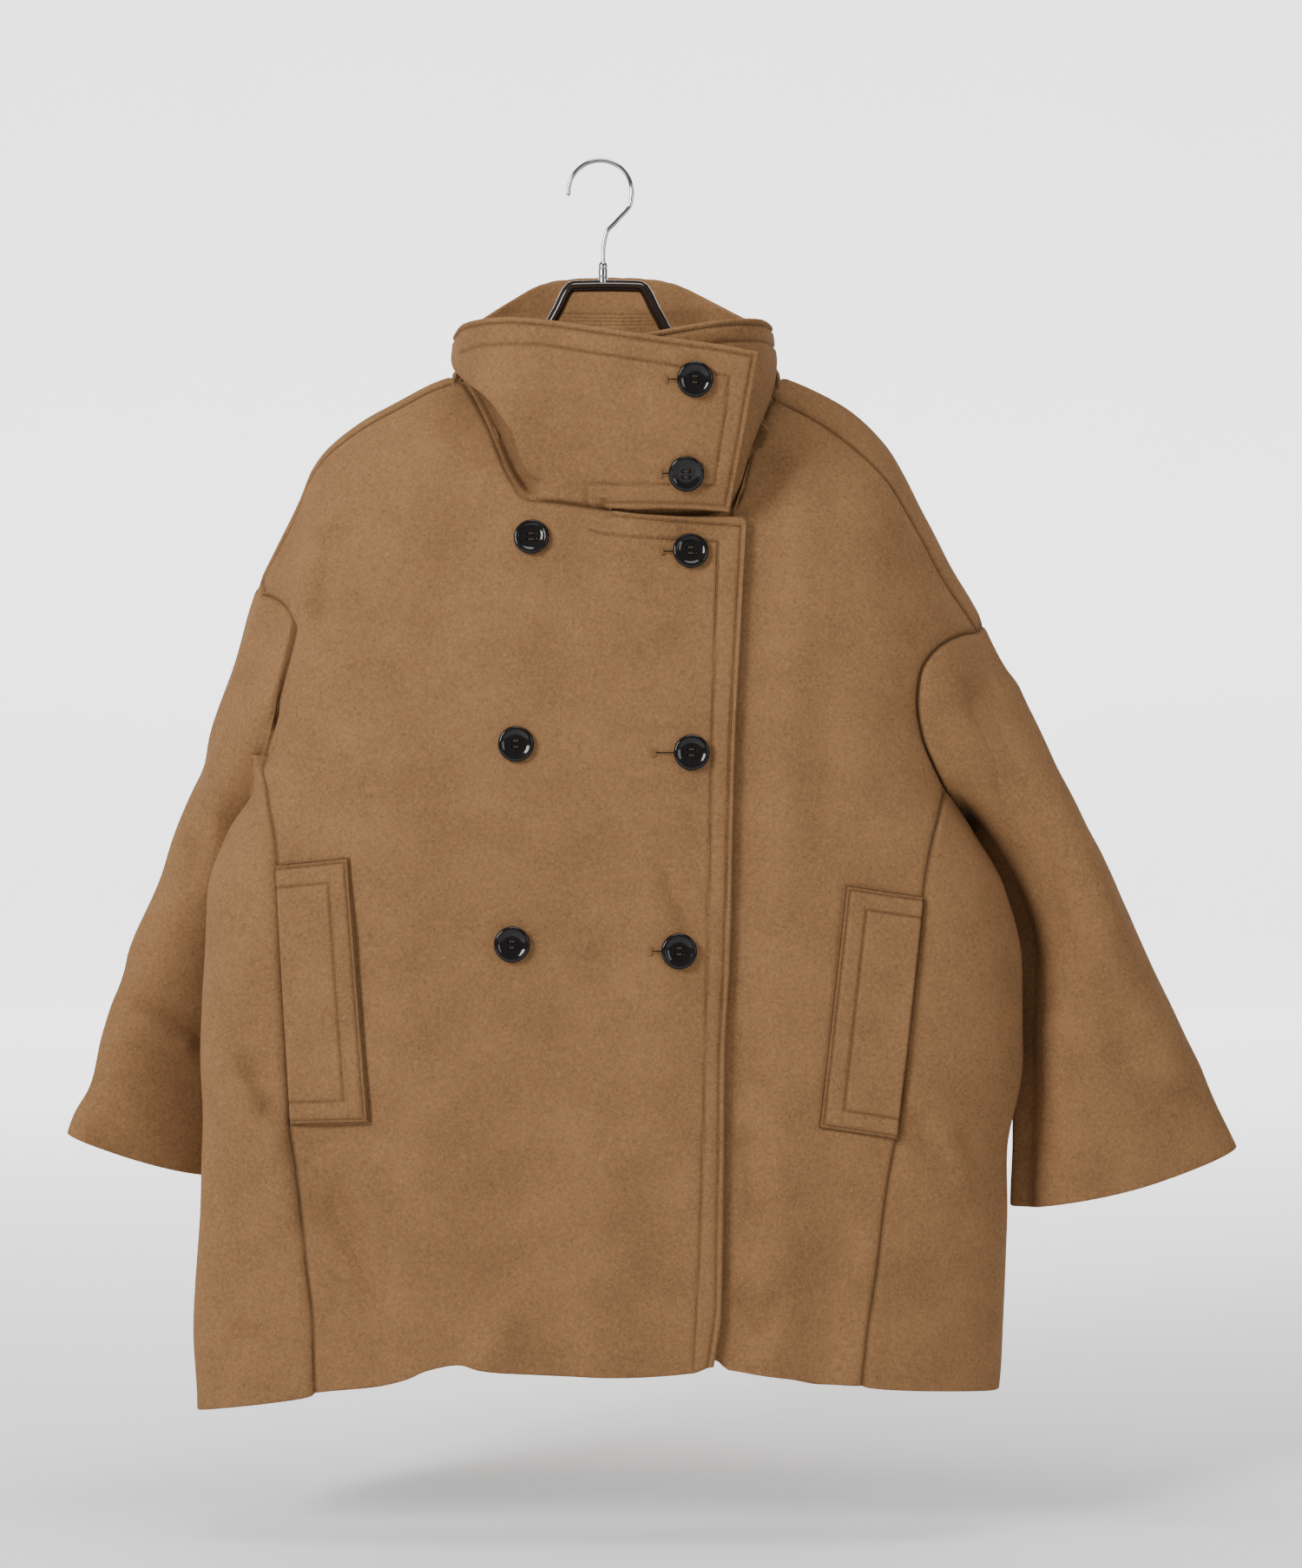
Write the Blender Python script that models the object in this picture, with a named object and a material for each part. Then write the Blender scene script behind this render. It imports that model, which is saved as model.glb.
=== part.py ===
"""Stand collar coat hung on a hanger: felted wool cloth walls, buttons and a hooked hanger.

Metres, +Z up. The front faces -Y. The origin is the inside top of the hook, where it sits on a rail.
"Right" and "left" are the wearer's, so right pieces lie at -X. All tables and sizes are in millimetres,
and put_mesh() turns them into metres.
"""
import math

import bmesh
import bpy
import numpy as np
from mathutils import Vector

MM = 0.001

# Cloth
WALL = 3.0                # felted wool
COLLAR_WALL = 5.0         # two layers sewn together
WELT_WALL = 4.0
SEAM_PULL = 0.18          # each piece stops this far from its seam line
COLLAR_PULL = 0.5         # the collar, whose seam turns most
LAY_GAP = 0.8             # between a panel and what is sewn on it
LAP_DEPTH = 8.0           # how far the left front lies behind the right one
LAP_FADE_START, LAP_FADE_END = 12.0, 48.0
LAP_TOP, LAP_TOP_RUN = -215.0, 50.0       # the lap starts below this height

# Form of the body: sections by height. Edges are the widest points of a section, seen from the front,
# edge_y says how far forward of the hook they lie, and front and back are the depths at mid width.
TRUNK_COLUMNS = ("z", "right_x", "left_x", "right_y", "left_y", "front", "back", "front_n", "back_n")
TRUNK = (
    (-980, -310, 312, 58, 30, 112, 104, 3.2, 2.3),
    (-900, -311, 317, 60, 30, 114, 103, 3.2, 2.3),
    (-780, -307, 320, 60, 30, 115, 101, 3.3, 2.2),
    (-700, -307, 333, 60, 30, 115, 98, 3.3, 2.1),
    (-640, -306, 333, 62, 28, 114, 96, 3.4, 2.1),
    (-576, -304, 320, 60, 24, 112, 92, 3.5, 2.0),
    (-530, -289, 292, 52, 15, 110, 90, 3.7, 2.1),
    (-495, -268, 273, 36, 8, 107, 89, 3.9, 2.6),
    (-450, -268, 273, 12, 2, 104, 88, 4.0, 3.2),
    (-360, -320, 340, 0, 0, 100, 88, 3.6, 3.4),
    (-100, -340, 365, 0, 0, 95, 90, 3.4, 3.4),
)

# The line over the shoulders, seen from the front. Inside the neck it only shapes the fronts and back.
RIDGE_COLUMNS = ("x", "z")
RIDGE = (
    (-345, -540), (-304, -428), (-272, -338), (-258, -306), (-236, -264), (-229, -245), (-217, -227),
    (-194, -209), (-160, -190), (-132, -175), (-110, -166), (-60, -134), (13, -115), (85, -136),
    (137, -167), (165, -179), (199, -199), (227, -224), (244, -251), (261, -285), (278, -320),
    (305, -367), (349, -462), (375, -520),
)
SHOULDER_DROP = 300.0     # height over which the cloth reaches its full depth below the ridge
SHOULDER_ROUND = 0.7

# Seams, seen from the front. A seam on the front has its depth from the body's form.
SEAM_COLUMNS = ("x", "z")
RIGHT_SHOULDER_DROP = 7.0                 # the right shoulder seam lies just under the ridge
LEFT_SHOULDER = ((137, -190), (165, -205), (199, -229), (227, -255), (250, -292), (272, -335), (299, -374))
RIGHT_SHOULDER_X = (-110, -267)
RIGHT_ARM_FRONT = (
    (-267, -344), (-259, -346), (-248, -352), (-239, -365), (-242, -388), (-248, -413), (-254, -441),
    (-259, -464), (-261, -476),
)
RIGHT_ARM_BACK = (
    (-256, -476), (-252, -462), (-247, -436), (-243, -408), (-242, -384), (-246, -364), (-257, -348),
    (-266, -342),
)
LEFT_ARM_FRONT = (
    (299, -374), (291, -375), (278, -379), (263, -388), (249, -408), (246, -432), (250, -458),
    (259, -480), (268, -497),
)
LEFT_ARM_BACK = (
    (262, -497), (257, -482), (252, -458), (248, -432), (249, -408), (259, -386), (280, -374),
    (298, -369),
)
RIGHT_SHOULDER_TIP, LEFT_SHOULDER_TIP = -272.0, 305.0
UNDERARM_DIP = {"right": 0.0, "left": 15.0}
UNDERARM_Z = {"right": -470.0, "left": -492.0}
RIGHT_SIDE_FRONT = ((-261, -476), (-253, -510), (-247, -534), (-244, -560), (-239, -654), (-234, -753),
                    (-229, -788), (-223, -845), (-217, -898), (-215, -957))
RIGHT_SIDE_BACK = ((-256, -476), (-244, -530), (-236, -600), (-226, -700), (-216, -840), (-210, -966))
LEFT_SIDE_FRONT = ((268, -497), (257, -536), (250, -567), (248, -581), (237, -672), (227, -764),
                   (221, -796), (212, -865), (205, -911), (201, -952))
LEFT_SIDE_BACK = ((262, -497), (252, -550), (240, -620), (230, -710), (218, -840), (208, -966))
HEM_SIDE_DROP = {"right": 17.0, "left": 8.0}   # the hem hangs lower at the sides

NECK_RIGHT = ((-110, -173), (-100, -190), (-86, -217), (-69, -256), (-55, -274), (-27, -278), (7, -283))
SLIT_LOWER = ((7, -283), (34, -286.4), (82, -288), (110, -287), (115, -291))
FRONT_EDGE = ((115, -291), (110, -370), (105, -459), (100, -637), (97, -690), (94, -894), (88, -936))
NECK_LEFT = ((137, -190), (128, -212), (117, -243), (105, -278), (72, -286), (20, -289), (-40, -291),
             (-86, -292))
HIDDEN_EDGE = ((-86, -292), (-86, -500), (-80, -700), (-74, -930))
# Back neck: across, and drop below the ridge, forward of it when negative
BACK_NECK = ((-110, -7), (-107, 2), (-98, 12), (-80, 24), (-45, 42), (13, 56), (70, 42), (105, 24),
             (126, 8), (135, -6), (137, -23))

# Hem of the fronts, by distance across
HEM_COLUMNS = ("x", "z")
HEM = (
    (-272, -978), (-250, -972), (-235, -961), (-215, -957), (-169, -952), (-146, -946), (-128, -938),
    (-105, -934), (-90, -938), (-57, -942), (1, -944), (31, -944), (72, -941), (88, -936), (123, -940),
    (146, -944), (169, -950), (201, -952),
)
HIDDEN_HEM_LIFT = 8.0                     # the left front's hem where the right one covers it

# Large folds: a soft ridge (+) or trough (-) of the cloth along a line, seen from the front
FOLD_COLUMNS = ("x0", "z0", "x1", "z1", "height", "width")
FOLDS = (
    (-300, -700, -250, -800, 7, 20),
    (-200, -815, -150, -880, -4, 22),
    (-146, -860, -136, -950, 4, 26),
    (60, -560, 95, -650, -4, 24),
    (122, -760, 130, -950, 5, 30),
    (250, -740, 262, -800, 5, 22),
    (-236, -290, -246, -355, -4, 14),
    (180, -850, 175, -955, -4, 26),
)

# Sleeves: outer and inner edge of each section, seen from the front, with their places forward of the
# hook, and half the section's depth
SLEEVE_COLUMNS = ("along", "outer_x", "outer_z", "inner_x", "inner_z", "outer_y", "inner_y", "half_depth")
RIGHT_SLEEVE = (
    (0.00, -272, -338, -265, -477, 0, 0, 60),
    (0.12, -291, -391, -279, -510, -4, -10, 57),
    (0.25, -311, -448, -290, -552, -8, -28, 52),
    (0.40, -334, -514, -294, -606, -10, -46, 45),
    (0.60, -364, -597, -292, -676, -8, -60, 38),
    (0.80, -395, -691, -290, -745, 0, -66, 31),
    (0.90, -404, -732, -292, -779, 4, -66, 29),
    (1.00, -421, -772, -295, -812, 8, -66, 27),
)
LEFT_SLEEVE = (
    (0.00, 305, -367, 270, -497, 0, 0, 60),
    (0.12, 328, -416, 287, -508, 4, 4, 57),
    (0.25, 354, -471, 304, -532, 6, 10, 55),
    (0.40, 383, -532, 324, -575, 8, 16, 50),
    (0.60, 425, -618, 339, -640, 10, 22, 44),
    (0.80, 466, -701, 341, -722, 10, 26, 38),
    (0.90, 485, -741, 338, -772, 10, 28, 36),
    (1.00, 504, -781, 337, -826, 10, 30, 34),
)
CUFF_BOW = 5.0                            # the cuff's front and back hang lower than its two edges
SLEEVE_BLEND = {"right": 0.3, "left": 0.42}    # share of the length over which the armhole's shape fades
SLEEVE_CLEAR = 5.0                        # the sleeve lies this far off the side panel
SLEEVE_CLEAR_RUN = 0.02                   # reached over this share of the sleeve's length
SLEEVE_PROUD = 0.6                        # the sleeve's edge stands this far out of the armhole

# Collar: bottom free edge over the slit, then the top edge, by share of each stretch
FLAP_BOTTOM_COLUMNS = ("share", "x", "lift", "z")
FLAP_BOTTOM = ((0.0, 101, 6, -286), (0.33, 70, 5, -284), (0.7, 34, 3, -283.2), (1.0, 7, 0, -283))
EDGE_COLUMNS = ("share", "x", "forward", "z")
FLAP_TOP = ((0.0, 123, 109, -166), (0.3, 90, 110, -160), (0.65, 46, 110, -154), (1.0, 1, 108, -147))
RIGHT_TOP = ((0.0, 1, 108, -147), (0.25, -43, 103, -140), (0.5, -77, 92, -137), (0.78, -105, 66, -138),
             (1.0, -114.5, 22, -143))
BACK_TOP = ((0.0, -114.5, 22, -143), (0.08, -112, -2, -137), (0.2, -97, -26, -121), (0.33, -67, -54, -98),
            (0.42, -43, -67, -84), (0.5, 6, -73, -80), (0.58, 50, -68, -83), (0.68, 82, -53, -98),
            (0.82, 116, -22, -120), (0.93, 134, 4, -131), (1.0, 138, 24, -134))
LEFT_TOP = ((0.0, 138, 24, -134), (0.22, 130, 60, -134), (0.42, 108, 86, -137), (0.6, 84, 97, -141),
            (0.78, 52, 99, -147), (1.0, 5, 99, -156))
BULGE_COLUMNS = ("height", "out")
COLLAR_BULGE = ((0.0, 0.0), (0.25, 3.0), (0.5, 4.0), (0.75, 2.0), (1.0, 0.0))

# Pocket welts: top and bottom corners, at the front side and at the side seam, seen from the front
WELT_RIGHT = ((-189, -550), (-244.5, -556), (-173, -751), (-233, -753))
WELT_LEFT = ((188.5, -571), (247, -580), (167.5, -754.5), (227, -764))

# Buttons
BUTTON_SIZE = 27.5
BUTTON_THICK = 4.6
BUTTON_DISH = 1.5
BUTTON_HOLE = 2.2
HOLE_PITCH = 4.6
BUTTON_GAP = 1.2
BUTTON_COLUMNS = ("name", "x", "z", "on")
BUTTONS = (
    ("button_collar_top", 73.9, -186.5, "collar"),
    ("button_collar_low", 67.3, -256.8, "collar"),
    ("button_front_1", 70.6, -316.0, "front"),
    ("button_front_2", 71.3, -470.3, "front"),
    ("button_front_3", 61.4, -620.8, "front"),
    ("button_row_1", -50.9, -305.4, "front"),
    ("button_row_2", -62.1, -463.8, "front"),
    ("button_row_3", -64.7, -615.5, "front"),
)

# Hanger
HOOK_ROD = 3.6
HOOK_RADIUS = 25.2                        # to the middle of the rod
HOOK_SHANK = ((25.9, -21.4), (24.0, -33.0), (13.5, -46.0), (5.0, -56.0), (2.6, -69.0), (2.2, -84.0))
FERRULE_X, FERRULE_SIZE, FERRULE_TOP, FERRULE_LOW = 2.2, 7.4, -82.0, -93.5
ARM_COLUMNS = ("x", "z", "half_deep", "half_high")
HANGER_ARMS = (
    (-216, -251, 7, 6), (-190, -231, 9, 8), (-150, -209, 9, 8), (-110, -193, 9, 8), (-70, -167, 8, 6),
    (-48, -144, 6, 4.5), (-34, -119, 6, 4.2), (-21, -99, 6, 4.2), (5, -98.5, 6, 4.2), (31, -99, 6, 4.2),
    (44, -119, 6, 4.2), (58, -143, 6, 4.5), (88, -169, 8, 6), (139, -196, 9, 8), (180, -213, 9, 8),
    (215, -240, 9, 8), (237, -264, 7, 6),
)

# How finely each piece is divided
SHOULDER_STEPS = 10
ARM_STEPS = 8
UNDER_STEPS = 6
SIDE_STEPS = 14
NECK_STEPS = 6
SLIT_STEPS = 4
BACK_NECK_STEPS = 12
COLLAR_UNDER_STEPS = 7                    # how far the collar's left end runs under the flap
CREST_ROWS = 2                            # rows of the back between the shoulder seam and the ridge
NECK_CREST = 6.0                          # their height below the back neck, where there is no ridge
NECK_SPREAD = 0.08                        # they widen this much from the neck seam
LEFT_NECK_STEPS = 10
SLEEVE_STEPS = 12
SLEEVE_CROWDING = 1.4                     # sections lie closer together near the armhole
COLLAR_STEPS = 6
FLAP_STEPS = 4


# ---------------------------------------------------------------- curves

def smooth(at, knots, values):
    """Monotone cubic through (knots, values): steps keep their shape and nothing overshoots."""
    knots, values = np.asarray(knots, float), np.asarray(values, float)
    if knots[0] > knots[-1]:
        knots, values = knots[::-1], values[::-1]
    gap = np.diff(knots)
    slope = np.diff(values) / gap
    tangent = np.empty_like(values)
    tangent[0], tangent[-1] = slope[0], slope[-1]
    same_way = slope[:-1] * slope[1:] > 0
    both = np.where(same_way, slope[:-1] + slope[1:], 1.0)
    tangent[1:-1] = np.where(same_way, 2.0 * slope[:-1] * slope[1:] / both, 0.0)
    at = np.clip(np.asarray(at, float), knots[0], knots[-1])
    cell = np.clip(np.searchsorted(knots, at) - 1, 0, len(gap) - 1)
    s = (at - knots[cell]) / gap[cell]
    start = (1 + 2 * s) * (1 - s) ** 2 * values[cell] + s * (1 - s) ** 2 * gap[cell] * tangent[cell]
    end = s ** 2 * (3 - 2 * s) * values[cell + 1] + s ** 2 * (s - 1) * gap[cell] * tangent[cell + 1]
    return start + end


def along(points, steps):
    """A smooth curve through points, as steps + 1 points evenly spaced along it."""
    points = np.asarray(points, float)
    length = np.concatenate(([0], np.cumsum(np.linalg.norm(np.diff(points, axis=0), axis=1))))
    at = np.linspace(0, length[-1], steps + 1)
    return np.stack([smooth(at, length, points[:, axis]) for axis in range(points.shape[1])], axis=1)


def unit(vectors):
    """The vectors at length one."""
    return vectors / np.maximum(np.linalg.norm(vectors, axis=-1, keepdims=True), 1e-9)


def ease(share):
    """0 to 1 with soft ends."""
    share = np.clip(share, 0, 1)
    return share * share * (3 - 2 * share)


# ---------------------------------------------------------------- form of the body

TRUNK_VALUES = {name: np.array([row[i] for row in TRUNK], float) for i, name in enumerate(TRUNK_COLUMNS)}


def trunk(name, z):
    """One column of the body's table at height z."""
    return smooth(z, TRUNK_VALUES["z"], TRUNK_VALUES[name])


def ridge(x):
    """Height of the line over the shoulders."""
    return smooth(x, [row[0] for row in RIDGE], [row[1] for row in RIDGE])


def fullness(drop):
    """0 on the ridge to 1 where the cloth has its full depth."""
    share = np.clip(drop / SHOULDER_DROP, 0, 1)
    return np.maximum(1 - (1 - share) ** 2, 0) ** SHOULDER_ROUND


def fold_height(x, z):
    """Sum of the large folds at a place on the front."""
    total = np.zeros(np.broadcast(x, z).shape)
    for x0, z0, x1, z1, height, width in FOLDS:
        run = np.array([x1 - x0, z1 - z0], float)
        share = np.clip(((x - x0) * run[0] + (z - z0) * run[1]) / (run @ run), 0, 1)
        away = np.hypot(x - x0 - share * run[0], z - z0 - share * run[1])
        total = total + height * np.exp(-(away / width) ** 2)
    return total


def depth(x, z, front):
    """How far the cloth lies in front of the hook: a superellipse section, thinned near the ridge."""
    right, left = trunk("right_x", z), trunk("left_x", z)
    middle, half = (left + right) / 2, (left - right) / 2
    across = np.clip((x - middle) / half, -1, 1)
    edge = np.where(across < 0, trunk("right_y", z), trunk("left_y", z))
    reach, power = (trunk("front", z), trunk("front_n", z)) if front else (
        -trunk("back", z), trunk("back_n", z))
    curve = np.maximum(1 - np.abs(across) ** power, 0) ** (1 / power)
    return fullness(ridge(x) - z) * (edge + (reach - edge) * curve)


def body_point(x, drop):
    """A point of the body's form: drop below the ridge, down the front when it is negative."""
    x, drop = np.broadcast_arrays(np.asarray(x, float), np.asarray(drop, float))
    z = ridge(x) - np.abs(drop)
    forward = depth(x, z, True) + fold_height(x, z)
    y = np.where(drop < 0, -forward, -depth(x, z, False))
    return np.stack([x, y, z], axis=-1)


def body_inward(x, drop):
    """Direction into the coat at a point of the body's form."""
    step_x, step_drop = 4.0, 6.0
    across = body_point(x + step_x, drop) - body_point(x - step_x, drop)
    down = body_point(x, drop + step_drop) - body_point(x, drop - step_drop)
    return unit(np.cross(down, across))


def front_drop(points):
    """Seam points seen from the front, as (across, drop) on the front of the form."""
    points = np.asarray(points, float)
    return np.stack([points[:, 0], points[:, 1] - ridge(points[:, 0])], axis=1)


def back_drop(points):
    """Seam points seen from the front, as (across, drop) on the back of the form."""
    points = np.asarray(points, float)
    return np.stack([points[:, 0], ridge(points[:, 0]) - points[:, 1]], axis=1)


# ---------------------------------------------------------------- seams, as (across, drop)

def right_shoulder():
    """Right shoulder seam, neck to arm, just under the ridge."""
    x = np.linspace(RIGHT_SHOULDER_X[0], RIGHT_SHOULDER_X[1], SHOULDER_STEPS + 1)
    return np.stack([x, np.full_like(x, -RIGHT_SHOULDER_DROP)], axis=1)


def left_shoulder():
    """Left shoulder seam, neck to arm, which lies well forward of the ridge."""
    return front_drop(along(LEFT_SHOULDER, SHOULDER_STEPS))


def seams(side):
    """The seam lines of one side: shoulder, arm front, arm back, side front and side back."""
    right = side == "right"
    shoulder = right_shoulder() if right else left_shoulder()
    arm_front = front_drop(along(RIGHT_ARM_FRONT if right else LEFT_ARM_FRONT, ARM_STEPS))
    arm_front[0] = shoulder[-1]
    tip = np.array([RIGHT_SHOULDER_TIP if right else LEFT_SHOULDER_TIP, 0.0])
    up_back = back_drop(along(RIGHT_ARM_BACK if right else LEFT_ARM_BACK, ARM_STEPS - CREST_ROWS - 1))
    arm_back = np.concatenate([up_back, [tip, (tip + shoulder[-1]) / 2, shoulder[-1]]])[::-1]
    side_front = front_drop(along(RIGHT_SIDE_FRONT if right else LEFT_SIDE_FRONT, SIDE_STEPS))
    side_back = back_drop(along(RIGHT_SIDE_BACK if right else LEFT_SIDE_BACK, SIDE_STEPS))
    side_front[0], side_back[0] = arm_front[-1], arm_back[-1]
    return {"shoulder": shoulder, "arm_front": arm_front, "arm_back": arm_back,
            "side_front": side_front, "side_back": side_back}


def patch(top, bottom, start, end, down=None):
    """Fill four boundary curves with a grid: the Coons patch of a top, a bottom and two sides."""
    across = np.linspace(0, 1, len(top))[:, None, None]
    down = (np.linspace(0, 1, len(start)) if down is None else down)[None, :, None]
    ruled = (1 - down) * top[:, None] + down * bottom[:, None]
    sides = (1 - across) * start[None] + across * end[None]
    corners = ((1 - across) * (1 - down) * top[0] + across * (1 - down) * top[-1]
               + (1 - across) * down * bottom[0] + across * down * bottom[-1])
    return ruled + sides - corners


# ---------------------------------------------------------------- walls

def grid_inward(points, closed=False):
    """Direction into the wall at each point of a grid whose first axis runs across, second down."""
    if closed:
        across = np.roll(points, -1, axis=0) - np.roll(points, 1, axis=0)
    else:
        across = np.gradient(points, axis=0)
    return unit(np.cross(across, np.gradient(points, axis=1)))


def pull_back(points, edges, distance=SEAM_PULL):
    """Draw the named edges of a grid back from their seam lines, square to the seam."""
    pulled = points.copy()
    for edge in edges:
        axis, at, inner = {"start": (0, 0, 1), "end": (0, -1, -2), "top": (1, 0, 1)}[edge]
        line = np.take(points, at, axis=axis)
        away = np.take(points, inner, axis=axis) - line
        run = unit(np.gradient(line, axis=0))
        away = unit(away - (away * run).sum(axis=1, keepdims=True) * run) * distance
        if axis == 0:
            pulled[at] += away
        else:
            pulled[:, at] += away
    return pulled


def put_mesh(name, vertices, faces, material):
    """Add an object whose vertices are given in millimetres."""
    mesh = bpy.data.meshes.new(name)
    mesh.from_pydata([tuple(point * MM) for point in vertices], [], faces)
    mesh.materials.append(material)
    mesh.update()
    item = bpy.data.objects.new(name, mesh)
    bpy.context.collection.objects.link(item)
    mesh.shade_smooth()
    mesh.set_sharp_from_angle(angle=math.radians(40))
    return item


def wall(name, outer, inward, thickness, material, closed=False):
    """A cloth wall: the outer grid, its copy thickness further in, and the rims between them."""
    inner = outer + inward * thickness
    count_across, count_down = outer.shape[:2]
    layer = count_across * count_down
    vertices = np.concatenate([outer.reshape(-1, 3), inner.reshape(-1, 3)])

    def number(i, j, deep):
        return deep * layer + (i % count_across) * count_down + j

    height_key = vertices @ np.array([0.37, 0.21, 1.0])

    def add_rim(near, far, turn):
        """Two triangles between neighbouring outer points and their inner copies."""
        a, b = number(*near, 0), number(*far, 0)
        a_in, b_in = number(*near, 1), number(*far, 1)
        pair = ([a, b, b_in], [a, b_in, a_in]) if height_key[a] > height_key[b] else (
            [a, b, a_in], [b, b_in, a_in])
        faces.extend(face[::turn] for face in pair)

    faces = []
    for i in range(count_across if closed else count_across - 1):
        for j in range(count_down - 1):
            quad = [(i, j), (i, j + 1), (i + 1, j + 1), (i + 1, j)]
            faces.append([number(a, b, 0) for a, b in quad])
            faces.append([number(a, b, 1) for a, b in quad[::-1]])
        add_rim((i, 0), (i + 1, 0), 1)
        add_rim((i, count_down - 1), (i + 1, count_down - 1), -1)
    if not closed:
        for j in range(count_down - 1):
            add_rim((0, j), (0, j + 1), -1)
            add_rim((count_across - 1, j), (count_across - 1, j + 1), 1)
    return put_mesh(name, vertices, faces, material)


# ---------------------------------------------------------------- pieces

def lap_shift(points):
    """Set points of the left front back where the right front lies over them."""
    edge = smooth(points[..., 2], [row[1] for row in FRONT_EDGE], [row[0] for row in FRONT_EDGE])
    share = (points[..., 0] - edge - LAP_FADE_START) / (LAP_FADE_END - LAP_FADE_START)
    below_neck = ease((LAP_TOP - points[..., 2]) / LAP_TOP_RUN)
    shifted = points.copy()
    shifted[..., 1] += LAP_DEPTH * (1 - ease(share)) * below_neck
    return shifted


def side_grid(side, lines):
    """The side panel's form, from its front seam (first axis start) to its back seam."""
    front, back = lines["side_front"], lines["side_back"]
    rows = len(front)
    place = np.linspace(-1, 1, UNDER_STEPS + 1)[:, None]
    front_z, back_z = ridge(front[:, 0]) + front[:, 1], ridge(back[:, 0]) - back[:, 1]
    row = np.arange(rows)[None, :]
    under_dip = UNDERARM_DIP[side] * (1 - ease(row / 3)) * (1 - place ** 2)
    hem_dip = HEM_SIDE_DROP[side] * ease((row - rows + 5) / 4) * np.sqrt(1 - place ** 2)
    z = front_z * (1 - place) / 2 + back_z * (1 + place) / 2 - under_dip - hem_dip
    turn = -1 if side == "right" else 1

    def across_share(x, height):
        middle = (trunk("left_x", height) + trunk("right_x", height)) / 2
        half = (trunk("left_x", height) - trunk("right_x", height)) / 2
        return turn * (x - middle) / half, middle, half

    front_share = across_share(front[:, 0], front_z)[0]
    back_share = across_share(back[:, 0], back_z)[0]
    power = np.where(place < 0, trunk("front_n", z), trunk("back_n", z))
    seam_share = np.where(place < 0, front_share, back_share)
    share = 1 - np.abs(place) ** power * (1 - seam_share)
    middle, half = across_share(0.0, z)[1:]
    x = middle + turn * half * share
    fold = fold_height(x, z) * ease(-1.5 * place)
    y = np.where(place < 0, -(depth(x, z, True) + fold), -depth(x, z, False))
    grid = np.stack([x, y, z], axis=-1)
    grid[0] = body_point(front[:, 0], front[:, 1])
    grid[-1] = body_point(back[:, 0], back[:, 1])
    return grid


def armhole(side, lines, under):
    """Armhole loop from the shoulder seam down the front, under the arm and up the back.

    Returns its points, the direction into the cloth that the body and the sleeve share there, and the
    direction into the body.
    """
    front, back = lines["arm_front"], lines["arm_back"]
    points = np.concatenate([body_point(front[:, 0], front[:, 1]), under[1:-1, 0],
                             body_point(back[::-1, 0], back[::-1, 1])[:-1]])
    body_in = np.concatenate([body_inward(front[:, 0], front[:, 1]), grid_inward_of_side(side, under)[1:-1, 0],
                              body_inward(back[::-1, 0], back[::-1, 1])[:-1]])
    to_middle = unit(points.mean(axis=0) - points)
    return points, unit(body_in + to_middle), body_in


def grid_inward_of_side(side, grid):
    """Direction into a side panel, whose grid runs front to back."""
    return grid_inward(grid) if side == "left" else -grid_inward(grid)


def shared_directions(side, lines):
    """Side panel form, armhole loop and the shared directions of one side, worked out once."""
    under = side_grid(side, lines)
    loop, loop_in, body_in = armhole(side, lines, under)
    count = len(lines["arm_front"])
    back_in = np.concatenate([loop_in[count + UNDER_STEPS - 1:], loop_in[:1]])[::-1]
    under_in = loop_in[count - 1:count + UNDER_STEPS]
    return {"under": under, "loop": loop, "loop_in": loop_in, "body_in": body_in,
            "front_in": loop_in[:count], "under_in": under_in, "back_in": back_in}


def hem_line(start, end, steps, lift=0.0):
    """Hem of a front between two of its corners, as (across, drop)."""
    x = np.linspace(start[0], end[0], steps + 1)
    z = smooth(x, [row[0] for row in HEM], [row[1] for row in HEM]) + lift
    line = np.stack([x, z - ridge(x)], axis=1)
    line[0], line[-1] = start, end
    return line


def neck_lines():
    """The three stretches of the neck seam, as (across, drop)."""
    right = front_drop(along(NECK_RIGHT, NECK_STEPS))
    left = front_drop(along(NECK_LEFT, LEFT_NECK_STEPS))
    back = along(BACK_NECK, BACK_NECK_STEPS)
    right[0] = back[0] = (RIGHT_SHOULDER_X[0], -RIGHT_SHOULDER_DROP)
    left[0] = back[-1] = front_drop(LEFT_SHOULDER[:1])[0]
    return {"right": right, "left": left, "back": back}


def neck_direction(line, points, middle):
    """Direction into the cloth that the collar and the body share along the neck."""
    to_middle = middle - points
    to_middle[:, 2] = 0
    return unit(body_inward(line[:, 0], line[:, 1]) + unit(to_middle))


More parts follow.
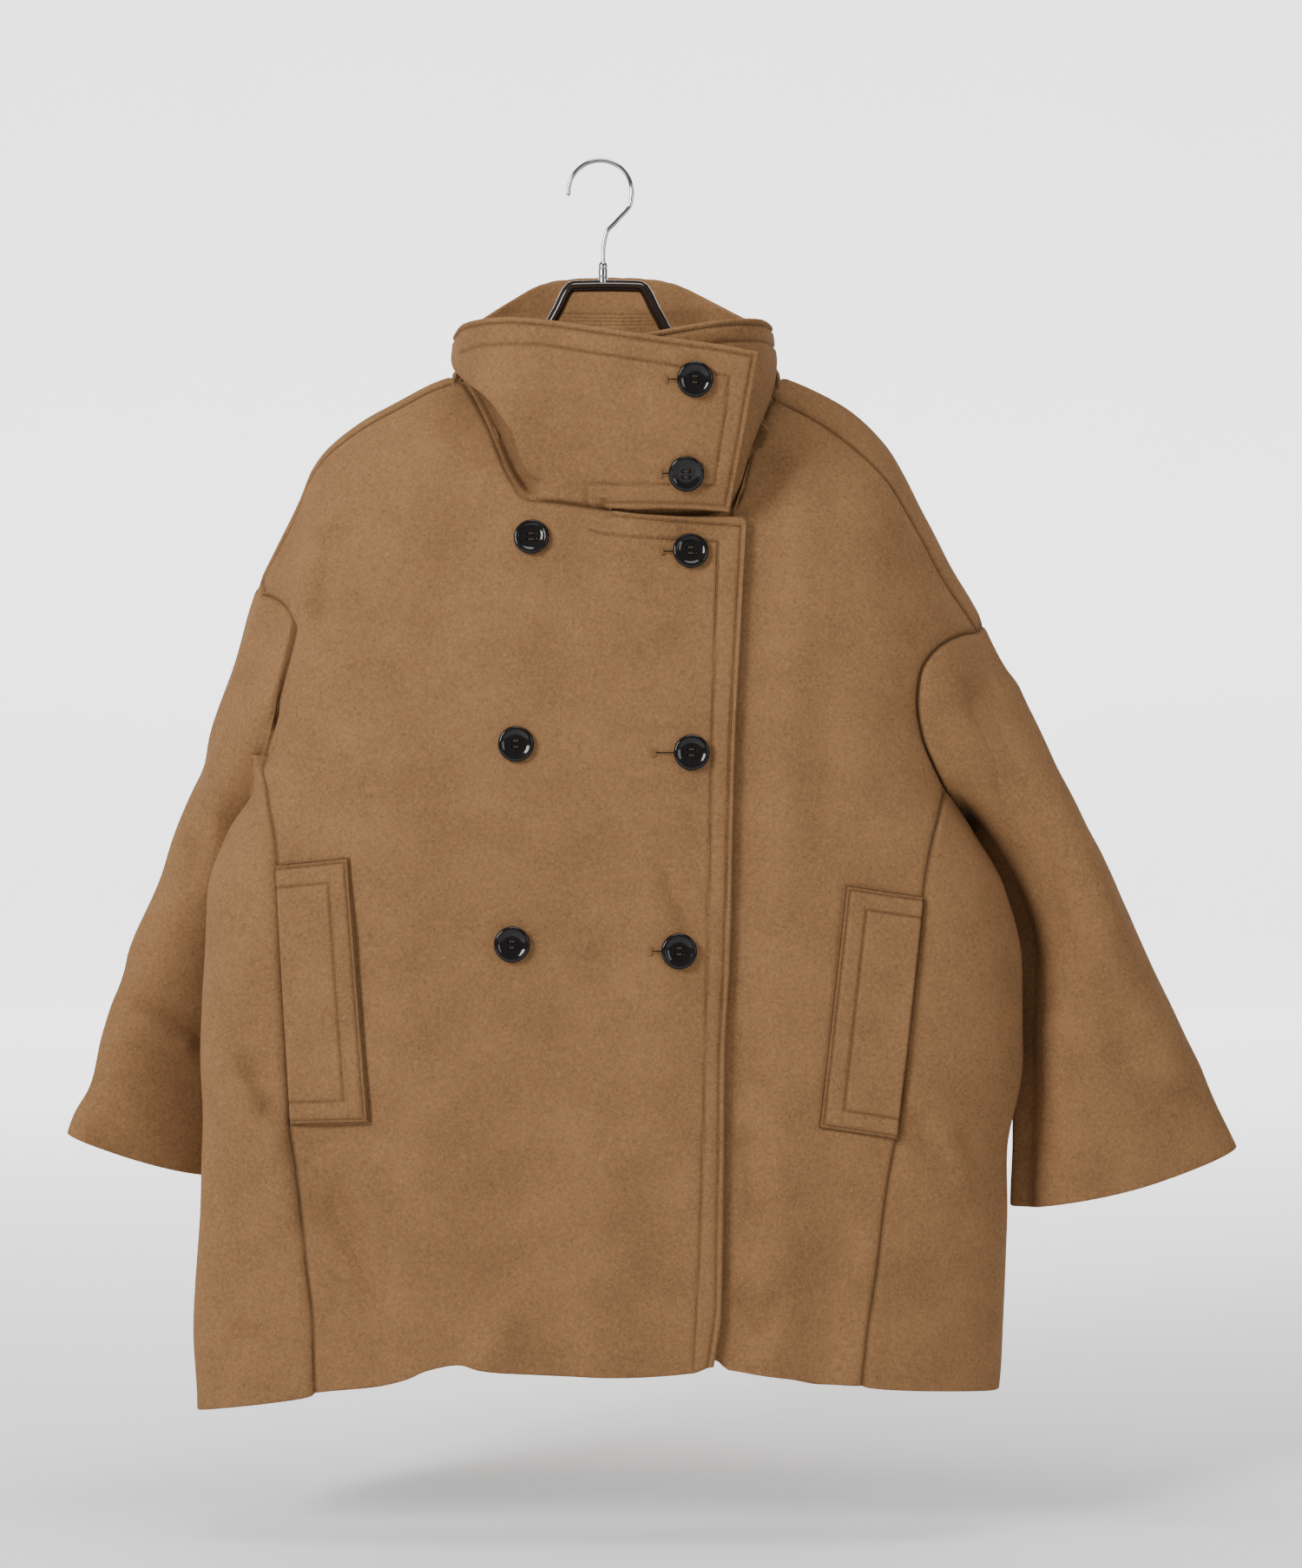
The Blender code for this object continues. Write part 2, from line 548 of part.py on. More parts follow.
def build_fronts(lines, shared, neck, neck_in, cloth):
    """The two fronts: the right one over the left one."""
    arm_side = np.concatenate([lines["right"]["arm_front"], lines["right"]["side_front"][1:]])
    rows = len(arm_side) - 1
    slit = front_drop(along(SLIT_LOWER, SLIT_STEPS))
    edge = front_drop(along(FRONT_EDGE, rows - NECK_STEPS - SLIT_STEPS))
    inner = np.concatenate([neck["right"], slit[1:], edge[1:]])
    bottom = hem_line(arm_side[-1], inner[-1], SHOULDER_STEPS)
    plan = patch(lines["right"]["shoulder"][::-1], bottom, arm_side, inner)
    inward = body_inward(plan[..., 0], plan[..., 1])
    inward[0, :ARM_STEPS + 1] = shared["right"]["front_in"]
    inward[-1, :NECK_STEPS + 1] = neck_in["right"]
    grid = pull_back(body_point(plan[..., 0], plan[..., 1]), ("start", "top", "end"))
    wall("front_right", grid, inward, WALL, cloth)

    arm_side = np.concatenate([lines["left"]["arm_front"], lines["left"]["side_front"][1:]])
    hidden = front_drop(along(HIDDEN_EDGE, rows - LEFT_NECK_STEPS))
    inner = np.concatenate([neck["left"], hidden[1:]])
    bottom = hem_line(inner[-1], arm_side[-1], SHOULDER_STEPS)
    under = 1 - ease((bottom[:, 0] - FRONT_EDGE[-1][0]) / LAP_FADE_START)
    bottom[1:-1, 1] += HIDDEN_HEM_LIFT * under[1:-1]
    plan = patch(lines["left"]["shoulder"], bottom, inner, arm_side)
    inward = body_inward(plan[..., 0], plan[..., 1])
    inward[-1, :ARM_STEPS + 1] = shared["left"]["front_in"]
    inward[0, :LEFT_NECK_STEPS + 1] = neck_in["left"]
    grid = pull_back(lap_shift(body_point(plan[..., 0], plan[..., 1])), ("start", "top", "end"))
    wall("front_left", grid, inward, WALL, cloth)


def build_sides(lines, shared, cloth):
    """The two side panels."""
    for side in ("right", "left"):
        grid = shared[side]["under"]
        inward = grid_inward_of_side(side, grid)
        inward[0] = body_inward(lines[side]["side_front"][:, 0], lines[side]["side_front"][:, 1])
        inward[-1] = body_inward(lines[side]["side_back"][:, 0], lines[side]["side_back"][:, 1])
        inward[:, 0] = shared[side]["under_in"]
        grid = pull_back(grid, ("start", "end", "top"))
        if side == "right":
            grid, inward = grid[::-1], inward[::-1]
        wall("side_" + side, grid, inward, WALL, cloth)


def build_back(lines, shared, neck, neck_in, cloth):
    """The back, which comes over the shoulders to the two shoulder seams."""
    left, right = lines["left"], lines["right"]
    top = np.concatenate([left["shoulder"][::-1], neck["back"][::-1][1:], right["shoulder"][1:]])
    start = np.concatenate([left["arm_back"], left["side_back"][1:]])
    end = np.concatenate([right["arm_back"], right["side_back"][1:]])
    share = np.linspace(0, 1, len(top))[:, None]
    x = (start[-1, 0] + (end[-1, 0] - start[-1, 0]) * share)[:, 0]
    z = smooth(x, (right["side_back"][-1, 0], 0, left["side_back"][-1, 0]), (-966, -962, -966))
    bottom = np.stack([x, ridge(x) - z], axis=1)
    crest = top.copy()
    crest[:, 1] = np.maximum(top[:, 1] + NECK_CREST, 0)
    from_neck = np.clip(np.abs(np.arange(len(top)) - len(top) // 2) - BACK_NECK_STEPS // 2, 0, None)
    neck_middle = (neck["back"][0, 0] + neck["back"][-1, 0]) / 2
    crest[:, 0] += (np.clip(top[:, 0], neck["back"][0, 0], neck["back"][-1, 0]) - neck_middle) * (
        NECK_SPREAD * (1 - from_neck / SHOULDER_STEPS))
    crest[0], crest[-1] = start[CREST_ROWS], end[CREST_ROWS]
    sides = (start[CREST_ROWS:, 1] + end[CREST_ROWS:, 1]) / 2
    down = (sides - sides[0]) / (sides[-1] - sides[0])
    lower = patch(crest, bottom, start[CREST_ROWS:], end[CREST_ROWS:], down)
    over = np.stack([top, (top + crest) / 2], axis=1)
    plan = np.concatenate([over, lower], axis=1)
    inward = body_inward(plan[..., 0], plan[..., 1])
    inward[0, :ARM_STEPS + 1] = shared["left"]["back_in"]
    inward[-1, :ARM_STEPS + 1] = shared["right"]["back_in"]
    neck_from = SHOULDER_STEPS
    inward[neck_from:neck_from + BACK_NECK_STEPS + 1, 0] = neck_in["back"][::-1]
    grid = pull_back(body_point(plan[..., 0], plan[..., 1]), ("start", "end", "top"))
    wall("back", grid, inward, WALL, cloth)


def sleeve_frames(table, at):
    """Middle, half width and half depth (with their directions) of a sleeve's sections."""
    column = {name: smooth(at, [row[0] for row in table], [row[i] for row in table])
              for i, name in enumerate(SLEEVE_COLUMNS)}
    outer = np.stack([column["outer_x"], -column["outer_y"], column["outer_z"]], axis=1)
    inner = np.stack([column["inner_x"], -column["inner_y"], column["inner_z"]], axis=1)
    middle, half = (outer + inner) / 2, (outer - inner) / 2
    front = np.array([0.0, -1.0, 0.0])
    width = unit(half)
    front = unit(front - (width @ front)[:, None] * width)
    return middle, half, front * column["half_depth"][:, None]


def clear_of_body(side, grid, at):
    """Move a sleeve's points outward, 1 mm at a time, until they clear the body's form."""
    outward = -1.0 if side == "right" else 1.0
    clear = SLEEVE_CLEAR * ease(at / SLEEVE_CLEAR_RUN)[None, :]
    for _ in range(60):
        x = grid[..., 0] - outward * clear
        z = grid[..., 2]
        within = (x > trunk("right_x", z)) & (x < trunk("left_x", z))
        behind_front = grid[..., 1] > -depth(x, z, True) - clear
        before_back = grid[..., 1] < -depth(x, z, False) + clear
        inside = within & behind_front & before_back & (z < UNDERARM_Z[side])
        inside[:, 0] = False
        grid[..., 0] += np.where(inside, outward, 0.0)


def build_sleeve(side, shared, cloth):
    """A sleeve: sections that turn from the armhole's loop into a flattened oval at the cuff."""
    loop, loop_in = shared["loop"], shared["loop_in"]
    table = RIGHT_SLEEVE if side == "right" else LEFT_SLEEVE
    at = np.linspace(0, 1, SLEEVE_STEPS + 1) ** SLEEVE_CROWDING
    middle, half, front = sleeve_frames(table, at)
    axis = unit(np.cross(half, front))
    local = loop - middle[0]
    wide = local @ half[0] / (half[0] @ half[0])
    deep = local @ front[0] / (front[0] @ front[0])
    rest = local @ axis[0]
    tip = int(np.argmax(wide))
    low = ARM_STEPS + UNDER_STEPS // 2
    step = np.linalg.norm(np.roll(loop, -1, axis=0) - loop, axis=1)
    run = np.concatenate(([0], np.cumsum(step)))
    total, tip_run, low_run = run[-1], run[tip], run[low]
    past = (run[:-1] - tip_run) % total
    reach = (low_run - tip_run) % total
    angle = np.where(past <= reach, math.pi * past / reach,
                     math.pi + math.pi * (past - reach) / (total - reach))
    blend = ease(at / SLEEVE_BLEND[side])[None, :, None]
    bow = CUFF_BOW * ease((at - 0.8) / 0.2)[None, :] * (np.sin(angle) ** 2)[:, None]
    wide = (1 - blend[..., 0]) * wide[:, None] + blend[..., 0] * np.cos(angle)[:, None]
    deep = (1 - blend[..., 0]) * deep[:, None] + blend[..., 0] * np.sin(angle)[:, None]
    rest = (1 - blend[..., 0]) * rest[:, None]
    grid = middle + wide[..., None] * half + deep[..., None] * front + rest[..., None] * axis
    grid[..., 2] -= bow
    clear_of_body(side, grid, at)
    grid[:, 0] -= shared["body_in"] * SLEEVE_PROUD
    if side == "left":
        grid, loop_in = grid[::-1], loop_in[::-1]
    inward = grid_inward(grid, closed=True)
    inward[:, 0] = loop_in
    grid = pull_back(grid, ("top",))
    wall("sleeve_" + side, grid, inward, WALL, cloth, closed=True)


def stretch(table, share):
    """Points of one stretch of the collar's edge, forward turned into -Y."""
    share = np.asarray(share, float)
    x, forward, z = (smooth(share, [row[0] for row in table], [row[i] for row in table])
                     for i in (1, 2, 3))
    return np.stack([x, -forward, z], axis=-1)


def even(steps):
    """Shares 0 to 1."""
    return np.linspace(0, 1, steps + 1)


def build_collar(neck, neck_points, neck_in, cloth):
    """The stand collar, wrapped from its free flap round the back to its end under the flap."""
    flap = stretch(FLAP_BOTTOM, even(FLAP_STEPS))[:-1]
    lift = -flap[:, 1]
    flap[:, 1] = -(depth(flap[:, 0], flap[:, 2], True) + fold_height(flap[:, 0], flap[:, 2]) + lift)
    bottom = np.concatenate([flap, neck_points["right"][::-1], neck_points["back"][1:],
                             neck_points["left"][1:COLLAR_UNDER_STEPS + 1]])
    top = np.concatenate([stretch(FLAP_TOP, even(FLAP_STEPS))[:-1], stretch(RIGHT_TOP, even(NECK_STEPS)),
                          stretch(BACK_TOP, even(BACK_NECK_STEPS))[1:],
                          stretch(LEFT_TOP, even(COLLAR_UNDER_STEPS))[1:]])
    height = even(COLLAR_STEPS)[None, :, None]
    grid = bottom[:, None] + (top - bottom)[:, None] * height
    out = -grid_inward(grid)
    bulge = smooth(height, [row[0] for row in COLLAR_BULGE], [row[1] for row in COLLAR_BULGE])
    grid = grid + out * bulge
    inward = grid_inward(grid)
    sewn = np.concatenate([neck_in["right"][::-1], neck_in["back"][1:],
                           neck_in["left"][1:COLLAR_UNDER_STEPS + 1]])
    inward[FLAP_STEPS:, 0] = sewn
    wall("collar", pull_back(grid, ("top",), COLLAR_PULL), inward, COLLAR_WALL, cloth)


def build_welt(name, corners, cloth):
    """A pocket welt laid on a front, made from the front's own form moved out."""
    inner_top, outer_top, inner_low, outer_low = (np.array(corner, float) for corner in corners)
    u, v = np.meshgrid(even(4), even(9), indexing="ij")
    start, end = (outer_top, outer_low), (inner_top, inner_low)
    if outer_top[0] > inner_top[0]:
        start, end = end, start
    plan = ((1 - u)[..., None] * ((1 - v)[..., None] * start[0] + v[..., None] * start[1])
            + u[..., None] * ((1 - v)[..., None] * end[0] + v[..., None] * end[1]))
    drop = plan[..., 1] - ridge(plan[..., 0])
    inward = body_inward(plan[..., 0], drop)
    grid = body_point(plan[..., 0], drop) - inward * (LAY_GAP + WELT_WALL)
    wall(name, grid, inward, WELT_WALL, cloth)


def build_button(name, place, facing, material):
    """A turned four-hole button with a dished face, standing at place and facing along facing."""
    radius, thick = BUTTON_SIZE / 2, BUTTON_THICK
    profile = ((0, thick - BUTTON_DISH), (0.52 * radius, thick - BUTTON_DISH), (0.74 * radius, thick),
               (0.9 * radius, thick), (radius, 0.62 * thick), (0.93 * radius, 0.2 * thick),
               (0.7 * radius, 0), (0, 0))
    shape = bmesh.new()
    ends = [shape.verts.new((x * MM, 0, z * MM)) for x, z in profile]
    edges = [shape.edges.new(pair) for pair in zip(ends[:-1], ends[1:])]
    bmesh.ops.spin(shape, geom=ends + edges, axis=(0, 0, 1), cent=(0, 0, 0), steps=20,
                   angle=2 * math.pi, use_duplicate=False)
    bmesh.ops.remove_doubles(shape, verts=shape.verts, dist=1e-6)
    bmesh.ops.recalc_face_normals(shape, faces=shape.faces)
    mesh = bpy.data.meshes.new(name)
    shape.to_mesh(mesh)
    shape.free()
    mesh.materials.append(material)
    item = bpy.data.objects.new(name, mesh)
    bpy.context.collection.objects.link(item)
    for turn in range(4):
        angle = math.pi / 4 + turn * math.pi / 2
        reach = HOLE_PITCH / math.sqrt(2)
        add_hole(item, name, turn, reach * math.cos(angle), reach * math.sin(angle))
    item.rotation_mode = "QUATERNION"
    item.rotation_quaternion = Vector(facing).to_track_quat("Z", "Y")
    item.location = Vector(place) * MM
    return item


def add_hole(item, name, turn, x, y):
    """Cut one thread hole through a button."""
    shape = bmesh.new()
    bmesh.ops.create_cone(shape, cap_ends=True, segments=8, radius1=BUTTON_HOLE / 2 * MM,
                          radius2=BUTTON_HOLE / 2 * MM, depth=3 * BUTTON_THICK * MM)
    bmesh.ops.translate(shape, verts=shape.verts, vec=(x * MM, y * MM, 0))
    mesh = bpy.data.meshes.new(f"{name}_cutter_{turn}")
    shape.to_mesh(mesh)
    shape.free()
    cutter = bpy.data.objects.new(mesh.name, mesh)
    bpy.context.collection.objects.link(cutter)
    cutter.parent = item
    cutter.hide_render = True
    cutter.display_type = "WIRE"
    cut = item.modifiers.new(f"hole_{turn}", "BOOLEAN")
    cut.operation = "DIFFERENCE"
    cut.solver = "EXACT"
    cut.object = cutter


def collar_front_point(x, z):
    """Depth of the collar flap at a place seen from the front, from its top and bottom edges."""
    low = depth(x, -283.0, True) + 6.0
    high = 111.0
    share = (z + 283.0) / (283.0 - 158.0)
    bulge = smooth(share, [row[0] for row in COLLAR_BULGE], [row[1] for row in COLLAR_BULGE])
    return low + (high - low) * share + bulge


def build_buttons(material):
    """Eight buttons, each standing just off the cloth."""
    for name, x, z, carrier in BUTTONS:
        if carrier == "collar":
            low, high = collar_front_point(x, z - 8), collar_front_point(x, z + 8)
            forward = collar_front_point(x, z)
            facing = unit(np.array([0.0, -16.0, -(high - low)]))
            place = np.array([x, -forward, z]) + facing * BUTTON_GAP
        else:
            drop = z - ridge(x)
            facing = -body_inward(np.array(x), np.array(drop))
            place = body_point(x, drop) + facing * BUTTON_GAP
        build_button(name, place, facing, material)


def tube(name, middles, sides, ups, sizes, material):
    """A closed swept bar: an oval of the given half sizes at each middle point."""
    count = 10
    angles = np.arange(count) * 2 * math.pi / count
    rings = (middles[:, None] + sides[:, None] * (sizes[:, :1] * np.cos(angles))[..., None]
             + ups[:, None] * (sizes[:, 1:] * np.sin(angles))[..., None])
    vertices = rings.reshape(-1, 3)
    faces = []
    for k in range(len(middles) - 1):
        for i in range(count):
            a, b = k * count + i, k * count + (i + 1) % count
            faces.append([a, b, b + count, a + count])
    faces.append(list(range(count))[::-1])
    faces.append([(len(middles) - 1) * count + i for i in range(count)])
    item = put_mesh(name, vertices, faces, material)
    shape = bmesh.new()
    shape.from_mesh(item.data)
    bmesh.ops.recalc_face_normals(shape, faces=shape.faces)
    shape.to_mesh(item.data)
    shape.free()
    return item


def plane_sweep(name, line, sizes, material):
    """A bar swept along a line in the X-Z plane; sizes are half depth (Y) and half height."""
    points = np.stack([line[:, 0], np.zeros(len(line)), line[:, 1]], axis=1)
    run = unit(np.gradient(points, axis=0))
    sides = np.tile([0.0, 1.0, 0.0], (len(points), 1))
    ups = np.cross(run, sides)
    return tube(name, points, sides, ups, sizes, material)


def build_hanger(plastic, chrome):
    """The hanger: moulded arms with a narrow neck, a metal ferrule and a bent rod hook."""
    table = np.array(HANGER_ARMS, float)
    smooth_arms = along(table, 34)
    plane_sweep("hanger_body", smooth_arms[:, :2], smooth_arms[:, 2:], plastic)
    ferrule = np.array([[FERRULE_X, FERRULE_TOP], [FERRULE_X, FERRULE_LOW]])
    plane_sweep("hanger_ferrule", ferrule, np.full((2, 2), FERRULE_SIZE / 2), chrome)
    centre_z = -(HOOK_RADIUS - HOOK_ROD / 2)
    turn = np.radians(np.linspace(183, 3, 19))
    arc = np.stack([HOOK_RADIUS * np.cos(turn), centre_z + HOOK_RADIUS * np.sin(turn)], axis=1)
    shank = along(((HOOK_RADIUS, centre_z - 1.5),) + HOOK_SHANK[1:], 16)
    shank[-1, 1] = FERRULE_TOP + SEAM_PULL * 2
    line = np.concatenate([arc, shank])
    plane_sweep("hanger_hook", line, np.full((len(line), 2), HOOK_ROD / 2), chrome)


# ---------------------------------------------------------------- materials and assembly

def material(name, colour, roughness, metallic=0.0):
    """A plain Principled material."""
    item = bpy.data.materials.new(name)
    item.use_nodes = True
    shader = item.node_tree.nodes["Principled BSDF"]
    shader.inputs["Base Color"].default_value = (*colour, 1.0)
    shader.inputs["Roughness"].default_value = roughness
    shader.inputs["Metallic"].default_value = metallic
    return item


def main():
    """Clear the scene and build every piece."""
    for item in list(bpy.data.objects):
        bpy.data.objects.remove(item, do_unlink=True)
    wool = material("camel_wool", (0.32, 0.17, 0.09), 0.95)
    wool_collar = material("camel_wool_double", (0.32, 0.17, 0.09), 0.95)
    black = material("black_resin", (0.01, 0.01, 0.01), 0.15)
    plastic = material("brown_plastic", (0.03, 0.015, 0.012), 0.25)
    chrome = material("chrome_rod", (0.8, 0.8, 0.8), 0.12, 1.0)

    lines = {side: seams(side) for side in ("right", "left")}
    shared = {side: shared_directions(side, lines[side]) for side in ("right", "left")}
    neck = neck_lines()
    neck_points = {part: body_point(line[:, 0], line[:, 1]) for part, line in neck.items()}
    neck_points["left"] = lap_shift(neck_points["left"])
    neck_points["back"][-1] = neck_points["left"][0]
    middle = np.concatenate(list(neck_points.values())).mean(axis=0)
    neck_in = {part: neck_direction(neck[part], neck_points[part], middle) for part in neck}

    build_fronts(lines, shared, neck, neck_in, wool)
    build_sides(lines, shared, wool)
    build_back(lines, shared, neck, neck_in, wool)
    for side in ("right", "left"):
        build_sleeve(side, shared[side], wool)
    build_collar(neck, neck_points, neck_in, wool_collar)
    build_welt("pocket_welt_right", WELT_RIGHT, wool)
    build_welt("pocket_welt_left", WELT_LEFT, wool)
    build_buttons(black)
    build_hanger(plastic, chrome)


main()
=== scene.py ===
"""Stand collar coat of felted wool, hung on a hanger.

Lengths in the tables and functions are in millimetres; put_faces() turns them into metres.
"Right" and "left" are the wearer's, so right pieces lie at -X. The front faces -Y, and the origin is the
inside top of the hook. The cloth follows the same named sections and seam lines as the coat's solids.
"""
import math

import bmesh
import bpy
import numpy as np
from bpy.props import FloatProperty, FloatVectorProperty, PointerProperty
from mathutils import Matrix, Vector


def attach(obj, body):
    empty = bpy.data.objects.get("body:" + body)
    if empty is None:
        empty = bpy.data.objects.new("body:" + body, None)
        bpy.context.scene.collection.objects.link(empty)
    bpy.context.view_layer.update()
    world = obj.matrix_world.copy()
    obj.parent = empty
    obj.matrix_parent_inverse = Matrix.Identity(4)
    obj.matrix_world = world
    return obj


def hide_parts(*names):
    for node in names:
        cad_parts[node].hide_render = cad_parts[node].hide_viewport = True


bl_info = {
    "name": "Stand collar coat",
    "version": (1, 0, 0),
    "blender": (4, 5, 0),
    "location": "View3D > Sidebar > Coat",
    "description": "Builds a felted wool stand collar coat on a hanger, with its sewing, buttons and stage",
    "category": "Object",
}

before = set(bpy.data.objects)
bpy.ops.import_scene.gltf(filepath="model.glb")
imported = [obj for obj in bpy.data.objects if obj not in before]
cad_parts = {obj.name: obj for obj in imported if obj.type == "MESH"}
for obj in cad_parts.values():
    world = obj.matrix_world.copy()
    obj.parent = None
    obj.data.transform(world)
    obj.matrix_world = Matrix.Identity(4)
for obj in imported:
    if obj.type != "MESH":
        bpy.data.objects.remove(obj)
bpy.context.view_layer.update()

MM = 0.001

# ---------------------------------------------------------------- sizes

WALL = 3.0                # felted wool, and below it where it is doubled
EDGE_WALL = 4.6           # front edge, where cloth and facing lie together
COLLAR_WALL = 5.0
WELT_WALL = 4.0
LAY_GAP = 0.8             # gap under a welt
LAP_DEPTH = 8.0           # how far the left front lies behind the right one
LAP_FADE_START, LAP_FADE_END = 12.0, 48.0
LAP_TOP, LAP_TOP_RUN = -215.0, 50.0       # the lap starts below this height, over this run
# Form of the body: sections by height. Edges are the widest points of a section, seen from the front,
# their y says how far forward of the hook they lie, and front and back are the depths at mid width.
TRUNK_COLUMNS = ("z", "right_x", "left_x", "right_y", "left_y", "front", "back", "front_n", "back_n")
TRUNK = (
    (-980, -310, 312, 58, 30, 112, 104, 3.2, 2.3),
    (-900, -311, 317, 60, 30, 114, 103, 3.2, 2.3),
    (-780, -307, 320, 60, 30, 115, 101, 3.3, 2.2),
    (-700, -307, 333, 60, 30, 115, 98, 3.3, 2.1),
    (-640, -306, 333, 62, 28, 114, 96, 3.4, 2.1),
    (-576, -304, 320, 60, 24, 112, 92, 3.5, 2.0),
    (-530, -289, 292, 52, 15, 110, 90, 3.7, 2.1),
    (-495, -268, 273, 36, 8, 107, 89, 3.9, 2.6),
    (-450, -268, 273, 12, 2, 104, 88, 4.0, 3.2),
    (-360, -320, 340, 0, 0, 100, 88, 3.6, 3.4),
    (-100, -340, 365, 0, 0, 95, 90, 3.4, 3.4),
)

# The line over the shoulders: across and height, seen from the front. Inside the neck it only shapes the
# fronts and back.
RIDGE = (
    (-345, -540), (-304, -428), (-272, -338), (-258, -306), (-236, -264), (-229, -245), (-217, -227),
    (-194, -209), (-160, -190), (-132, -175), (-110, -166), (-60, -134), (13, -115), (85, -136),
    (137, -167), (165, -179), (199, -199), (227, -224), (244, -251), (261, -285), (278, -320),
    (305, -367), (349, -462), (375, -520),
)
SHOULDER_DROP = 300.0     # height over which the cloth reaches its full depth below the ridge
SHOULDER_ROUND = 0.7

# Seams: across and height, seen from the front. A seam on the front has its depth from the body's form.
RIGHT_SHOULDER_DROP = 7.0                 # the right shoulder seam lies just under the ridge
LEFT_SHOULDER = ((137, -190), (165, -205), (199, -229), (227, -255), (250, -292), (272, -335), (299, -374))
RIGHT_SHOULDER_X = (-110, -267)
RIGHT_ARM_FRONT = (
    (-267, -344), (-259, -346), (-248, -352), (-239, -365), (-242, -388), (-248, -413), (-254, -441),
    (-259, -464), (-261, -476),
)
RIGHT_ARM_BACK = (
    (-256, -476), (-252, -462), (-247, -436), (-243, -408), (-242, -384), (-246, -364), (-257, -348),
    (-266, -342),
)
LEFT_ARM_FRONT = (
    (299, -374), (291, -375), (278, -379), (263, -388), (249, -408), (246, -432), (250, -458),
    (259, -480), (268, -497),
)
LEFT_ARM_BACK = (
    (262, -497), (257, -482), (252, -458), (248, -432), (249, -408), (259, -386), (280, -374),
    (298, -369),
)
RIGHT_SHOULDER_TIP, LEFT_SHOULDER_TIP = -272.0, 305.0
UNDERARM_DIP = {"right": 0.0, "left": 15.0}
UNDERARM_Z = {"right": -470.0, "left": -492.0}
RIGHT_SIDE_FRONT = ((-261, -476), (-253, -510), (-247, -534), (-244, -560), (-239, -654), (-234, -753),
                    (-229, -788), (-223, -845), (-217, -898), (-215, -957))
RIGHT_SIDE_BACK = ((-256, -476), (-244, -530), (-236, -600), (-226, -700), (-216, -840), (-210, -966))
LEFT_SIDE_FRONT = ((268, -497), (257, -536), (250, -567), (248, -581), (237, -672), (227, -764),
                   (221, -796), (212, -865), (205, -911), (201, -952))
LEFT_SIDE_BACK = ((262, -497), (252, -550), (240, -620), (230, -710), (218, -840), (208, -966))
HEM_SIDE_DROP = {"right": 17.0, "left": 8.0}   # the hem hangs lower at the sides
SIDE_FOLD_FADE = 1.5                      # how fast large folds grow from the side panel's middle to its front
SIDE_ROWS, UNDERARM_ROWS, HEM_ROWS = 14, 3, 4   # a side panel in equal rows: where the dips at its ends fade

NECK_RIGHT = ((-110, -173), (-100, -190), (-86, -217), (-69, -256), (-55, -274), (-27, -278), (7, -283))
SLIT_LOWER = ((7, -283), (34, -286.4), (82, -288), (110, -287), (115, -291))
FRONT_EDGE = ((115, -291), (110, -370), (105, -459), (100, -637), (97, -690), (94, -894), (88, -936))
NECK_LEFT = ((137, -190), (128, -212), (117, -243), (105, -278), (72, -286), (20, -289), (-40, -291),
             (-86, -292))
HIDDEN_EDGE = ((-86, -292), (-86, -500), (-80, -700), (-74, -930))
# Back neck: across, and drop below the ridge, forward of it when negative
BACK_NECK = ((-110, -7), (-107, 2), (-98, 12), (-80, 24), (-45, 42), (13, 56), (70, 42), (105, 24),
             (126, 8), (135, -6), (137, -23))

# Hem of the fronts: across and height
HEM = (
    (-272, -978), (-250, -972), (-235, -961), (-215, -957), (-169, -952), (-146, -946), (-128, -938),
    (-105, -934), (-90, -938), (-57, -942), (1, -944), (31, -944), (72, -941), (88, -936), (123, -940),
    (146, -944), (169, -950), (201, -952),
)
BACK_HEM = (-966, -962, -966)             # the back's hem at its right end, middle and left end
HIDDEN_HEM_LIFT = 8.0                     # the left front's hem where the right one covers it

# Large folds: a soft ridge (+) or trough (-) of the cloth along a line seen from the front, as the across and
# height of its two ends, how far it stands out and its width
FOLDS = (
    (-300, -700, -250, -800, 7, 20),
    (-200, -815, -150, -880, -4, 22),
    (-146, -860, -136, -950, 4, 26),
    (60, -560, 95, -650, -4, 24),
    (122, -760, 130, -950, 5, 30),
    (250, -740, 262, -800, 5, 22),
    (-236, -290, -246, -355, -4, 14),
    (180, -850, 175, -955, -4, 26),
)

# Sleeves: outer and inner edge of each section, seen from the front, with their places forward of the
# hook, and half the section's depth
SLEEVE_COLUMNS = ("along", "outer_x", "outer_z", "inner_x", "inner_z", "outer_y", "inner_y", "half_depth")
RIGHT_SLEEVE = (
    (0.00, -272, -338, -265, -477, 0, 0, 60),
    (0.12, -291, -391, -279, -510, -4, -10, 57),
    (0.25, -311, -448, -290, -552, -8, -28, 52),
    (0.40, -334, -514, -294, -606, -10, -46, 45),
    (0.60, -364, -597, -292, -676, -8, -60, 38),
    (0.80, -395, -691, -290, -745, 0, -66, 31),
    (0.90, -404, -732, -292, -779, 4, -66, 29),
    (1.00, -421, -772, -295, -812, 8, -66, 27),
)
LEFT_SLEEVE = (
    (0.00, 305, -367, 270, -497, 0, 0, 60),
    (0.12, 328, -416, 287, -508, 4, 4, 57),
    (0.25, 354, -471, 304, -532, 6, 10, 55),
    (0.40, 383, -532, 324, -575, 8, 16, 50),
    (0.60, 425, -618, 339, -640, 10, 22, 44),
    (0.80, 466, -701, 341, -722, 10, 26, 38),
    (0.90, 485, -741, 338, -772, 10, 28, 36),
    (1.00, 504, -781, 337, -826, 10, 30, 34),
)
CUFF_BOW, CUFF_BOW_RUN = 5.0, 0.2         # the cuff's front and back hang lower than its two edges
SLEEVE_BLEND = {"right": 0.3, "left": 0.42}    # share of the length over which the armhole's shape fades
SLEEVE_CLEAR = 5.0                        # the sleeve lies this far off the side panel
